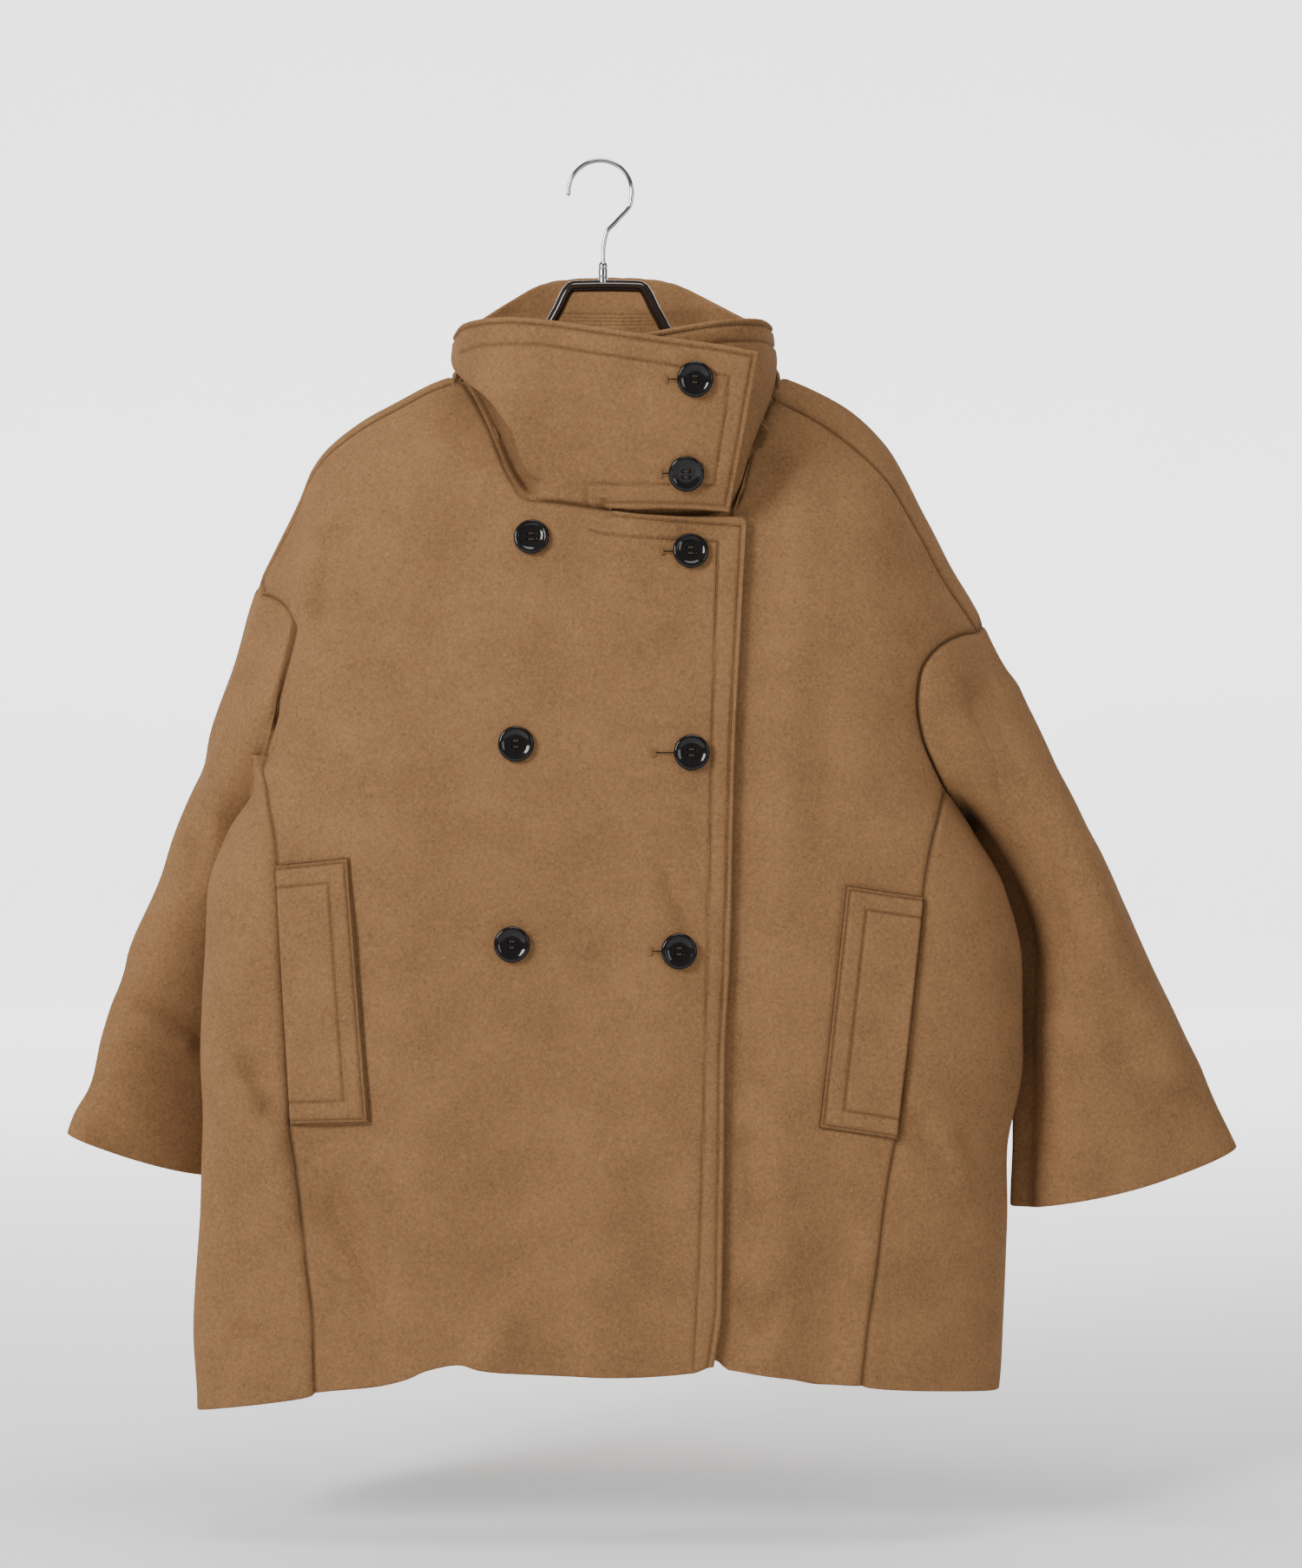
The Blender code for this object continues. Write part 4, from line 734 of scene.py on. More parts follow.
def neck_lines():
    """The neck seam as fine lines of (across, drop): right front, left front and back."""
    right = front_drop(along(NECK_RIGHT, FINE))
    left = front_drop(along(NECK_LEFT, FINE))
    back = along(BACK_NECK, FINE)
    right[0] = back[0] = (RIGHT_SHOULDER_X[0], -RIGHT_SHOULDER_DROP)
    left[0] = back[-1] = front_drop(LEFT_SHOULDER[:1])[0]
    return {"right": right, "left": left, "back": back}


def lifted(line):
    """A line of (across, drop) laid on the body's form."""
    return body_point(line[:, 0], line[:, 1])


def nearest(points, lines):
    """Distance of each point to the nearest of several lines in space, each thinned to LINE_POINTS."""
    best = np.full(points.shape[:-1], 1e9)
    for line in lines:
        keep = np.unique(np.linspace(0, len(line) - 1, LINE_POINTS).astype(int))
        best = np.minimum(best, line_distance(points, line[keep]))
    return best


def dips(points, lines):
    """Valley where a piece is sewn to the next: it turns in towards each line."""
    return -SEAM_DIP * np.exp(-(nearest(points, lines) / SEAM_WIDTH) ** 2)


def falls(points, lines, thickness):
    """How far a free edge is rounded off: a quarter circle of half the thickness along each line."""
    radius = thickness / 2
    share = 1 - np.clip(nearest(points, lines) / radius, 0, 1)
    return EDGE_ROUND * radius * (1 - np.sqrt(np.maximum(1 - share ** 2, 0)))


def hem_plan(start, end):
    """Hem of a front between two corners, as (across, drop)."""
    x = np.linspace(start[0], end[0], FINE)
    z = table_at(HEM, x)
    line = np.stack([x, z - ridge(x)], axis=1)
    line[0], line[-1] = start, end
    return line


def surface_run(line):
    """A stitch line seen from the front, put on the body's form in its groove: points and directions out."""
    points = along(line, RUN_STEPS * len(line))
    drop = points[:, 1] - ridge(points[:, 0])
    out = -body_inward(points[:, 0], drop)
    return body_point(points[:, 0], drop) - out * LINE_DEPTH * THREAD_SUNK, out


def straight_run(line, step=4.0):
    """A polyline with its corners kept, as points about step apart."""
    line = np.asarray(line, float)
    parts = []
    for start, end in zip(line[:-1], line[1:]):
        count = max(1, int(np.linalg.norm(end - start) / step))
        parts.append(start + (end - start) * np.linspace(0, 1, count + 1)[:-1, None])
    return np.concatenate(parts + [line[-1:]])


# ---------------------------------------------------------------- fronts, sides and back

def roll_line():
    """Stitch line of the right front: ROLL_IN below its slit, then ROLL_IN inside its front edge."""
    edge = np.asarray(FRONT_EDGE, float) - (ROLL_IN, 0)
    beside_slit = np.array([*SLIT_LINE, (edge[0][0], SLIT_LINE_END)]) - (0, ROLL_IN)
    return np.concatenate([beside_slit, edge[1:]])


def build_front_right(finish, thread):
    """Right front: body's form inside its seam lines, thick and stitched along the slit and front edge."""
    lines, neck = seam_lines("right"), neck_lines()
    slit = front_drop(along(SLIT_LOWER, FINE))
    edge = front_drop(along(FRONT_EDGE, FINE))
    sewn_top = joined(lines["shoulder"][::-1], neck["right"])
    top = joined(sewn_top, slit)
    start = joined(lines["arm_front"], lines["side_front"])
    bottom = hem_plan(start[-1], edge[-1])
    across = 1 - spacing(FRONT_WIDE, (0, ROLL_IN, FRONT_LINE_IN, FRONT_WIDE))[::-1]
    down = spacing(FRONT_TALL, (0, ROLL_IN, *BOX_ROWS, FRONT_TALL))
    plan = panel(top, bottom, start, edge, across, down)
    grid = body_point(plan[..., 0], plan[..., 1])
    free = [lifted(slit), lifted(edge), lifted(bottom)]
    from_edge = nearest(grid, [lifted(edge)])
    thickness = WALL + (EDGE_WALL - WALL) * ease((FACING_WIDE - from_edge) / FACING_FADE)
    cuts = (dips(grid, [lifted(sewn_top), lifted(start)]) + valley(grid, roll_line(), depth=EDGE_LINE_DEPTH)
            + valley(grid, BOX_BOTTOM, FRONT_LINE, BOX_SIDE_LOW))
    swell = creases(grid, FRONT_CREASES) + unevenness(grid)
    piece = cloth_wall("front_right_cloth", grid, cuts, swell, thickness, falls(grid, free, thickness), finish)
    finish_piece(piece, "camel_wool", "front_right")
    runs = [surface_run(line) for line in (roll_line()[:3], roll_line()[3:], straight_run(BOX_BOTTOM, 12),
                                           FRONT_LINE, BOX_SIDE_THREAD)]
    sewing = stitches("front_right_stitches", runs, thread)
    finish_piece(sewing, "camel_wool")
    return piece


def build_front_left(finish):
    """Left front: body's form, set back where it lies under the right one."""
    lines, neck = seam_lines("left"), neck_lines()
    hidden = front_drop(along(HIDDEN_EDGE, FINE))
    sewn_top = joined(neck["left"][::-1], lines["shoulder"])
    end = joined(lines["arm_front"], lines["side_front"])
    bottom = hem_plan(hidden[-1], end[-1])
    under = 1 - ease((bottom[:, 0] - FRONT_EDGE[-1][0]) / LAP_FADE_START)
    bottom[1:-1, 1] += HIDDEN_HEM_LIFT * under[1:-1]
    bottom[0, 1] += HIDDEN_HEM_LIFT
    plan = panel(sewn_top, bottom, hidden, end, even_spacing(FRONT_WIDE), even_spacing(FRONT_LEFT_TALL))
    form = body_point(plan[..., 0], plan[..., 1])
    grid = lap_shift(form)
    free = [lap_shift(lifted(hidden)), lap_shift(lifted(bottom))]
    thickness = np.full(grid.shape[:2], WALL)
    cuts = dips(grid, [lap_shift(lifted(sewn_top)), lap_shift(lifted(end))])
    swell = creases(grid, FRONT_CREASES) + unevenness(grid)
    piece = cloth_wall("front_left_cloth", grid, cuts, swell, thickness, falls(grid, free, thickness), finish)
    finish_piece(piece, "camel_wool", "front_left")
    return piece


def side_form(side, lines, shares, across):
    """Side panel: the body's form followed round from the front side seam to the back one."""
    front, back = resample_line(lines["side_front"], shares), resample_line(lines["side_back"], shares)
    place = (2 * across - 1)[:, None]
    front_z, back_z = ridge(front[:, 0]) + front[:, 1], ridge(back[:, 0]) - back[:, 1]
    rows = shares * SIDE_ROWS
    under_dip = UNDERARM_DIP[side] * (1 - ease(rows / UNDERARM_ROWS))[None, :] * (1 - place ** 2)
    hem_share = ease((rows - SIDE_ROWS + HEM_ROWS) / HEM_ROWS)[None, :]
    hem_dip = HEM_SIDE_DROP[side] * hem_share * np.sqrt(1 - place ** 2)
    z = front_z * (1 - place) / 2 + back_z * (1 + place) / 2 - under_dip - hem_dip
    turn = -1 if side == "right" else 1
    middle, half = trunk_span(z)

    def share_of(x, height):
        centre, reach = trunk_span(height)
        return turn * (x - centre) / reach

    seam_share = np.where(place < 0, share_of(front[:, 0], front_z), share_of(back[:, 0], back_z))
    power = np.where(place < 0, trunk("front_n", z), trunk("back_n", z))
    x = middle + turn * half * (1 - np.abs(place) ** power * (1 - seam_share))
    front_y = depth(x, z, True) + fold_height(x, z) * ease(-SIDE_FOLD_FADE * place)
    y = np.where(place < 0, -front_y, -depth(x, z, False))
    grid = np.stack([x, y, z], axis=-1)
    grid[0], grid[-1] = lifted(front), lifted(back)
    return grid


def side_shape(side):
    """The side panel's fine grid, from its front seam to its back seam."""
    lines = seam_lines(side)
    return side_form(side, lines, even_spacing(SIDE_TALL), even_spacing(SIDE_AROUND))


def build_side(side, finish):
    """A side panel from armhole to hem."""
    grid = side_shape(side)
    thickness = np.full(grid.shape[:2], WALL)
    cuts = dips(grid, [grid[0], grid[-1], grid[:, 0]])
    facing = np.clip(-outward(grid)[..., 1] * (1 if side == "left" else -1) * 2, 0, 1)
    swell = (unevenness(grid) + creases(grid, FRONT_CREASES) * facing
             + creases(grid, BACK_CREASES) * (1 - facing))
    fall = falls(grid, [grid[:, -1]], thickness)
    piece = cloth_wall(f"side_{side}_cloth", grid, cuts, swell, thickness, fall, finish,
                       reverse=side == "right")
    finish_piece(piece, "camel_wool", "side_" + side)
    return piece


def build_back(finish):
    """Back: one panel from hem to neck that comes over the shoulders to both shoulder seams."""
    left, right, neck = seam_lines("left"), seam_lines("right"), neck_lines()
    across = even_spacing(BACK_WIDE)
    top_line = joined(left["shoulder"][::-1], neck["back"][::-1], right["shoulder"])
    start_line = joined(left["arm_back"], left["side_back"])
    end_line = joined(right["arm_back"], right["side_back"])
    top = resample_line(top_line, across)
    x = np.linspace(start_line[-1, 0], end_line[-1, 0], FINE)
    z = smooth(x, (end_line[-1, 0], 0, start_line[-1, 0]), BACK_HEM)
    bottom = np.stack([x, ridge(x) - z], axis=1)
    crest = top.copy()
    crest[:, 1] = np.maximum(top[:, 1] + NECK_CREST, 0)
    neck_left, neck_right = neck["back"][-1, 0], neck["back"][0, 0]
    from_neck = np.maximum(top[:, 0] - neck_left, neck_right - top[:, 0])
    crest[:, 0] += (np.clip(top[:, 0], neck_right, neck_left) - (neck_left + neck_right) / 2) * (
        NECK_SPREAD * (1 - np.clip(from_neck / NECK_FADE, 0, 1)))
    crest[0], crest[-1] = (LEFT_SHOULDER_TIP, 0), (RIGHT_SHOULDER_TIP, 0)

    def below_tip(line, tip):
        at = int(np.argmin(np.abs(line[:, 0] - tip) + np.abs(line[:, 1])))
        return line[:at + 1], line[at:]

    start_top, start_low = below_tip(start_line, LEFT_SHOULDER_TIP)
    end_top, end_low = below_tip(end_line, RIGHT_SHOULDER_TIP)
    down = spacing(BACK_TALL, (BACK_TALL,), BACK_STEP)
    lower = panel(crest, bottom, start_low, end_low, np.linspace(0, 1, len(crest)), down)
    over = spacing(12, (0,), 4, 1.1)[:-1]
    upper = top[:, None] + (crest - top)[:, None] * over[None, :, None]
    upper[0], upper[-1] = resample_line(start_top, over), resample_line(end_top, over)
    plan = np.concatenate([upper, lower], axis=1)
    grid = body_point(plan[..., 0], plan[..., 1])
    thickness = np.full(grid.shape[:2], WALL)
    sewn = [lifted(top_line), lifted(start_line), lifted(end_line)]
    facing = np.clip(outward(grid)[..., 1] * 2, 0, 1)
    swell = unevenness(grid) + creases(grid, BACK_CREASES) * facing
    fall = falls(grid, [grid[:, -1]], thickness)
    piece = cloth_wall("back_cloth", grid, dips(grid, sewn), swell, thickness, fall, finish)
    finish_piece(piece, "camel_wool", "back")
    return piece


# ---------------------------------------------------------------- sleeves

def sleeve_frames(table, at):
    """Middle, half width and half depth (with their directions) of a sleeve's sections."""
    column = {name: table_at(table, at, i) for i, name in enumerate(SLEEVE_COLUMNS)}
    outer = np.stack([column["outer_x"], -column["outer_y"], column["outer_z"]], axis=1)
    inner = np.stack([column["inner_x"], -column["inner_y"], column["inner_z"]], axis=1)
    middle, half = (outer + inner) / 2, (outer - inner) / 2
    front = np.array([0.0, -1.0, 0.0])
    width = unit(half)
    front = unit(front - (width @ front)[:, None] * width)
    return middle, half, front * column["half_depth"][:, None]


def clear_of_body(side, grid, at):
    """Move a sleeve's points outward, 1 mm at a time, until they clear the body; spread that shift smoothly."""
    outward_way = -1.0 if side == "right" else 1.0
    clear = SLEEVE_CLEAR * ease(at / SLEEVE_CLEAR_RUN)[None, :]
    shift = np.zeros(grid.shape[:2])
    for _ in range(CLEAR_PASSES):
        x = grid[..., 0] + outward_way * (shift - clear)
        z = grid[..., 2]
        within = (x > trunk("right_x", z)) & (x < trunk("left_x", z))
        behind_front = grid[..., 1] > -depth(x, z, True) - clear
        before_back = grid[..., 1] < -depth(x, z, False) + clear
        shift += within & behind_front & before_back & (z < UNDERARM_Z[side])
    for step in range(SPREAD_PASSES):
        padded = np.pad(shift, ((0, 0), (1, 1)), mode="edge")
        around = np.stack([np.roll(shift, 1, 0), np.roll(shift, -1, 0), padded[:, :-2], padded[:, 2:], shift])
        shift = around.max(axis=0) if step < WIDEN_PASSES else around.mean(axis=0)
    grid[..., 0] += outward_way * shift * ease(at / SHIFT_RUN)[None, :]


def build_sleeve(side, finish):
    """A sleeve: sections that turn from the armhole's loop into a flattened oval at the cuff."""
    lines = seam_lines(side)
    under = side_shape(side)[1:-1, 0]
    front, back = lines["arm_front"], lines["arm_back"]
    loop_line = np.concatenate([lifted(front), under, lifted(back[::-1])])
    turns = np.linspace(0, 1, SLEEVE_AROUND + 1)
    low_share = resample_share(loop_line, len(front) + len(under) // 2)
    loop = resample_line(loop_line, turns)[:-1]
    table = RIGHT_SLEEVE if side == "right" else LEFT_SLEEVE
    at = spacing(SLEEVE_LONG, (0, SLEEVE_LONG), SLEEVE_STEP)
    middle, half, front_way = sleeve_frames(table, at)
    axis = unit(np.cross(half, front_way))
    local = loop - middle[0]
    wide = local @ half[0] / (half[0] @ half[0])
    deep = local @ front_way[0] / (front_way[0] @ front_way[0])
    rest = local @ axis[0]
    outermost = turns[int(np.argmax(wide))]
    past, reach = (turns[:-1] - outermost) % 1, (low_share - outermost) % 1
    angle = np.where(past <= reach, math.pi * past / reach, math.pi + math.pi * (past - reach) / (1 - reach))
    inner_side = ease(-np.cos(angle) * 1.4)
    blend = ease(at / SLEEVE_BLEND[side])[None, :]
    bow = CUFF_BOW * ease((at - 1 + CUFF_BOW_RUN) / CUFF_BOW_RUN)[None, :] * (np.sin(angle) ** 2)[:, None]
    wide = (1 - blend) * wide[:, None] + blend * np.cos(angle)[:, None]
    deep = (1 - blend) * deep[:, None] + blend * np.sin(angle)[:, None]
    rest = (1 - blend) * rest[:, None]
    grid = middle + wide[..., None] * half + deep[..., None] * front_way + rest[..., None] * axis
    grid[..., 2] -= bow
    clear_of_body(side, grid, at)
    if side == "left":
        behind = inner_side * ease(-np.sin(angle) * 3 + 0.4)
        grid[..., 0] -= SLEEVE_BEHIND * behind[:, None] * ease((at - BEHIND_FROM) / BEHIND_RUN)[None, :]
        grid = grid[::-1]
    else:
        close = (ease(at / CLOSE_RUN) * ease((CLOSE_END - at) / CLOSE_FADE))[None, :]
        grid[..., 0] += SLEEVE_CLOSE * (inner_side[:, None] * close)
    thickness = np.full(grid.shape[:2], WALL)
    ring = np.concatenate([grid[:, 0], grid[:1, 0]])
    cuff = np.concatenate([grid[:, -1], grid[:1, -1]])
    facing = np.clip(-outward(grid, True)[..., 1] * 2 + 0.4, 0, 1)
    swell = unevenness(grid) + creases(grid, SLEEVE_CREASES[side]) * facing
    piece = cloth_wall(f"sleeve_{side}_cloth", grid, dips(grid, [ring]), swell, thickness,
                       falls(grid, [cuff], thickness), finish, closed=True)
    finish_piece(piece, "camel_wool", "sleeve_" + side)
    return piece


def resample_share(line, index):
    """Share of a line's length at one of its points."""
    length = lengths(line)
    return length[index] / length[-1]


# ---------------------------------------------------------------- collar and pocket welts

# The flap folds out over its neck seam: height of the fold above the seam, by share from slit to shoulder
FOLD_LINE = ((0.2, 12), (0.3, 19), (0.354, 30), (0.4, 43), (0.5, 44), (0.6, 40), (0.72, 31), (0.9, 17),
             (1.0, 12))
# FOLD_SHADE is the strength of the painted shade in the recessed strip under the fold
FOLD_OVERHANG, FOLD_RECESS, FOLD_SHADE = 8.0, 12.0, 1.0
FOLD_START, FOLD_START_RUN = 0.22, 0.13   # the fold fades in and out over these shares of the right neck seam
FOLD_END, FOLD_END_RUN = 1.02, 0.06
FOLD_SHARP, FOLD_FADE = 1.2, 40           # how sharp the step over the strip is, and how far up it fades
FOLD_DROP, FOLD_DROP_FADE = 4.0, 9        # the fold's edge hangs down over the strip
STRIP_RUN, STRIP_SHADE_RUN = 8, 5         # the strip sinks, and its painted shade grows, over this height above the seam
FLAP_LONG, FLAP_STEP = 100, 3.0
CLEAR_COLUMNS = 8         # columns each side of the slit's inner end that have no line across them
ON_FRONT_Y, IN_BACK_Y = -50, 20           # the collar is at the front before one, at the back past the other
RIGHT_COLUMNS, BACK_COLUMNS, LEFT_COLUMNS = 64, 80, 46
INNER_LINES = (-113.0, -116.0, -119.0, -122.0)
INNER_LINE_RISE, INNER_LINE_WIDTH = 0.7, 0.9
COLLAR_TALL, COLLAR_STEP = 118.0, 1.7
LEFT_LINE_IN, LEFT_LINE_FROM = 17, (70, 100)     # the left end's line below the top: from this x and column on
SMOOTH_PASSES, SLIT_PASSES, SLIT_COLUMNS = 12, 80, 10    # the grid is smoothed all round, most by the slit
WELT_WIDE, WELT_TALL, WELT_ROLL, WELT_INNER = 58.0, 194.0, 3.4, 17.0
WELT_ROLL_WIDTH, WELT_INNER_WIDTH = 1.3, 1.4      # widths of its two stitch lines
WELT_RIM_DROP, WELT_RIM_RUN = 1.8, 3      # its sewn edges go down this much towards the front
WELT_OPEN_LIFT, WELT_OPEN_RUN = 0.8, 14   # and its open edge stands off


def stretch(table, share):
    """Points of one stretch of the collar's edge, forward turned into -Y."""
    x, forward, z = (table_at(table, share, column) for column in (1, 2, 3))
    return np.stack([x, -forward, z], axis=-1)


def collar_grid():
    """The stand collar from its free flap clockwise to its end under the flap, bottom edge to top edge."""
    neck = neck_lines()
    flap = spacing(FLAP_LONG, (0, ROLL_IN, 22), FLAP_STEP)
    right, back, left = (np.linspace(0, 1, count) for count in (RIGHT_COLUMNS, BACK_COLUMNS, LEFT_COLUMNS))
    low = stretch(FLAP_BOTTOM, flap)[:-1]
    low[:, 1] = -(depth(low[:, 0], low[:, 2], True) + fold_height(low[:, 0], low[:, 2]) - low[:, 1])
    left_line = lap_shift(lifted(resample_line(neck["left"], left * UNDER_SHARE)))
    back_line = lifted(resample_line(neck["back"], back))
    back_line[-1] = left_line[0]
    bottom = np.concatenate([low, lifted(resample_line(neck["right"][::-1], right)), back_line[1:],
                             left_line[1:]])
    top = np.concatenate([stretch(FLAP_TOP, flap)[:-1], stretch(RIGHT_TOP, right), stretch(BACK_TOP, back)[1:],
                          stretch(LEFT_TOP, left)[1:]])
    marks = (0, ROLL_IN, 65, 70, 75, COLLAR_TALL - LEFT_LINE_IN, COLLAR_TALL - ROLL_IN, COLLAR_TALL)
    share = spacing(COLLAR_TALL, marks, COLLAR_STEP)
    grid = bottom[:, None] + (top - bottom)[:, None] * share[None, :, None]
    return grid + outward(grid) * table_at(COLLAR_BULGE, share)[None, :, None], len(low)


def fold_over(grid, flap_count):
    """The collar's fold: above FOLD_LINE it stands out over a recessed strip beside the right neck seam. It
    also returns the painted shade of that strip.
    """
    out = outward(grid)
    rise = lengths(grid, 1)
    share = (np.arange(len(grid)) - flap_count) / (RIGHT_COLUMNS - 1)
    amount = (ease((share - FOLD_START) / FOLD_START_RUN) * ease((FOLD_END - share) / FOLD_END_RUN))[:, None]
    past = rise - table_at(FOLD_LINE, share)[:, None]
    above = np.clip(past, 0, None)
    step = 1 / (1 + np.exp(-past / FOLD_SHARP))
    recess = (1 - step) * ease(rise / STRIP_RUN)
    shift = FOLD_OVERHANG * step * np.exp(-above / FOLD_FADE) - FOLD_RECESS * recess
    over = FOLD_DROP * step * np.exp(-above / FOLD_DROP_FADE)
    down = -unit(np.gradient(grid, axis=1))
    way = unit(0.5 * out + (0.0, -0.7, 0.0))
    moved = grid + (way * shift[..., None] + down * over[..., None]) * amount[..., None]
    # painted shade in the strip under the fold, darkest just below the fold line
    shade = FOLD_SHADE * amount * (1 - step) * ease(rise / STRIP_SHADE_RUN)
    return moved, shade * (0.6 + 0.4 * np.exp(np.minimum(past, 0) / 12))


def build_collar(finish, thread):
    """Stand collar: two layers, stitched round its free edges, its right end folded over the front."""
    grid, flap_count = collar_grid()
    for _ in range(SMOOTH_PASSES):
        grid[1:-1, 1:] = 0.25 * (grid[:-2, 1:] + grid[2:, 1:]) + 0.5 * grid[1:-1, 1:]
    column = np.arange(len(grid))
    near_slit = np.exp(-((column[1:-1] - flap_count) / SLIT_COLUMNS) ** 2)[:, None, None]
    for _ in range(SLIT_PASSES):
        grid[1:-1, 1:] += near_slit * (0.25 * (grid[:-2, 1:] + grid[2:, 1:]) - 0.5 * grid[1:-1, 1:])
    grid, shadow = fold_over(grid, flap_count)
    out = outward(grid)
    thickness = np.full(grid.shape[:2], COLLAR_WALL)
    free = [grid[:, -1], grid[0], grid[-1], grid[:flap_count + 1, 0]]
    cuts = dips(grid, [grid[flap_count:, 0]])
    off_edges = np.minimum(line_distance(grid, grid[:, 0]), line_distance(grid, grid[:, -1]))
    past_slit = (np.abs(column - flap_count) < CLEAR_COLUMNS)[:, None] & (off_edges > ROLL_IN + 3)
    edge_line = EDGE_LINE_DEPTH * np.exp(-((nearest(grid, free) - ROLL_IN) / LINE_WIDTH) ** 2)
    cuts = cuts - np.where(past_slit, 0.0, edge_line)
    lines = (COLLAR_LINE, COLLAR_SIDE_LINE, BOX_TOP, BOX_SIDE)
    flap_end = flap_count + RIGHT_COLUMNS
    on_flap = (grid[..., 1] < ON_FRONT_Y) & (out[..., 1] < FACING_FRONT) & (column < flap_end)[:, None]
    cuts = cuts + np.where(on_flap, valley(grid, *lines), 0.0)
    left_end = (grid[..., 0] > LEFT_LINE_FROM[0]) & (column > flap_count + LEFT_LINE_FROM[1])[:, None]
    from_line = line_distance(grid, grid[::3, -1]) - LEFT_LINE_IN
    cuts = cuts - np.where(left_end, LINE_DEPTH * np.exp(-(from_line / LINE_WIDTH) ** 2), 0.0)
    fall = falls(grid, free, thickness)
    rows = sum(np.exp(-((grid[..., 2] - level) / INNER_LINE_WIDTH) ** 2) for level in INNER_LINES)
    inner = fall - thickness + np.where(grid[..., 1] > IN_BACK_Y, INNER_LINE_RISE * rows, 0.0)
    outer_side = grid + out * (cuts + unevenness(grid, 0.5) - fall)[..., None]
    SURFACES["collar_cloth"] = outer_side[:flap_end], out[:flap_end]
    inner_side = grid + out * inner[..., None]
    tuck = tucked(grid, out)[flap_count:]
    outer_side[flap_count:, 0] += tuck
    inner_side[flap_count:, 0] += tuck
    # the collar's painted shade: its seams and stitch grooves, and the strip under the fold
    piece = put_wall("collar_cloth", outer_side, inner_side, finish, np.maximum(painted_crevice_shade(cuts), shadow))
    finish_piece(piece, "camel_wool_double", "collar")
    runs = [found_run(straight_run(line, 3.0), *SURFACES["collar_cloth"]) for line in lines]
    runs += [inset_run(outer_side[:, ::-1], out[:, ::-1], ROLL_IN),
             inset_run(outer_side.transpose(1, 0, 2), out.transpose(1, 0, 2), ROLL_IN)]
    sewing = stitches("collar_stitches", runs, thread)
    finish_piece(sewing, "camel_wool_double")
    return piece


def found_run(line, surface, out):
    """Points seen from the front, laid on the nearest points of a surface, and the directions out there."""
    facing = out[..., 1] < FACING_FRONT
    spots, ways = surface[facing], out[facing]
    away = np.sum((line[:, None] - seen(spots)[None]) ** 2, axis=-1)
    close = np.argsort(away, axis=1)[:, :4]
    weight = 1 / (np.take_along_axis(away, close, axis=1) + 0.05)
    weight /= weight.sum(axis=1, keepdims=True)
    y = np.sum(spots[close][..., 1] * weight, axis=1)
    return np.stack([line[:, 0], y, line[:, 1]], axis=1), unit(np.sum(ways[close] * weight[..., None], axis=1))


def inset_run(surface, out, distance):
    """A run at a distance from the edge that is the second index's start."""
    length = lengths(surface, 1)
    both = np.concatenate([surface, out], axis=2)
    rows = np.array([[np.interp(distance, length[i], both[i, :, k]) for k in range(6)]
                     for i in range(len(surface))])
    return rows[:, :3], unit(rows[:, 3:])


def build_welt(side, finish, thread):
    """Pocket welt: a folded strip laid on the front, stitched near three edges and again inside."""
    corners = WELT_RIGHT if side == "right" else WELT_LEFT
    inner_top, outer_top, inner_low, outer_low = (np.array(corner, float) for corner in corners)
    start, end = (outer_top, outer_low), (inner_top, inner_low)
    if side == "left":
        start, end = end, start
    across, down = (spacing(length, (0, WELT_ROLL, WELT_INNER, length - WELT_INNER, length - WELT_ROLL, length),
                            step, 0.8) for length, step in ((WELT_WIDE, 3.0), (WELT_TALL, 4.0)))
    u, v = across[:, None, None], down[None, :, None]
    plan = (1 - u) * ((1 - v) * start[0] + v * start[1]) + u * ((1 - v) * end[0] + v * end[1])
    drop = plan[..., 1] - ridge(plan[..., 0])
    out = -body_inward(plan[..., 0], drop)
    grid = body_point(plan[..., 0], drop) + out * (LAY_GAP + WELT_WALL)
    from_front = (1 - across if side == "right" else across)[:, None] * WELT_WIDE
    from_open = WELT_WIDE - from_front
    rim = np.minimum(from_front, np.minimum(down, 1 - down)[None, :] * WELT_TALL)
    cuts = (-EDGE_LINE_DEPTH * np.exp(-((rim - WELT_ROLL) / WELT_ROLL_WIDTH) ** 2)
            - LINE_DEPTH * np.exp(-((rim - WELT_INNER) / WELT_INNER_WIDTH) ** 2)
            - WELT_RIM_DROP * (1 - ease(rim / WELT_RIM_RUN)))
    part = 1 - np.clip(np.minimum(rim, from_open) / (WELT_WALL / 2), 0, 1)
    fall = EDGE_ROUND * (WELT_WALL / 2) * (1 - np.sqrt(np.maximum(1 - part ** 2, 0)))
    height = cuts + unevenness(grid, 0.35) + WELT_OPEN_LIFT * ease(1 - from_open / WELT_OPEN_RUN)
    outer_side = grid + out * (height - fall)[..., None]
    inner_side = grid - out * (WELT_WALL - fall)[..., None]
    # painted shade in the welt's stitch grooves and along its sewn rims
    piece = put_wall(f"pocket_welt_{side}_cloth", outer_side, inner_side, finish, painted_crevice_shade(cuts))
    finish_piece(piece, "camel_wool", "pocket_welt_" + side)
    rows = outer_side[::-1] if side == "right" else outer_side
    ways = out[::-1] if side == "right" else out
    long_runs = [inset_run(rows.transpose(1, 0, 2), ways.transpose(1, 0, 2), distance)
                 for distance in (WELT_ROLL, WELT_INNER)]
    runs = [(points[2:-2], way[2:-2]) for points, way in long_runs]
    runs += [inset_run(outer_side, out, WELT_ROLL), inset_run(outer_side[:, ::-1], out[:, ::-1], WELT_ROLL)]
    sewing = stitches(f"pocket_welt_{side}_stitches", runs, thread)
    finish_piece(sewing, "camel_wool")
    return piece


# ---------------------------------------------------------------- buttons and buttonholes

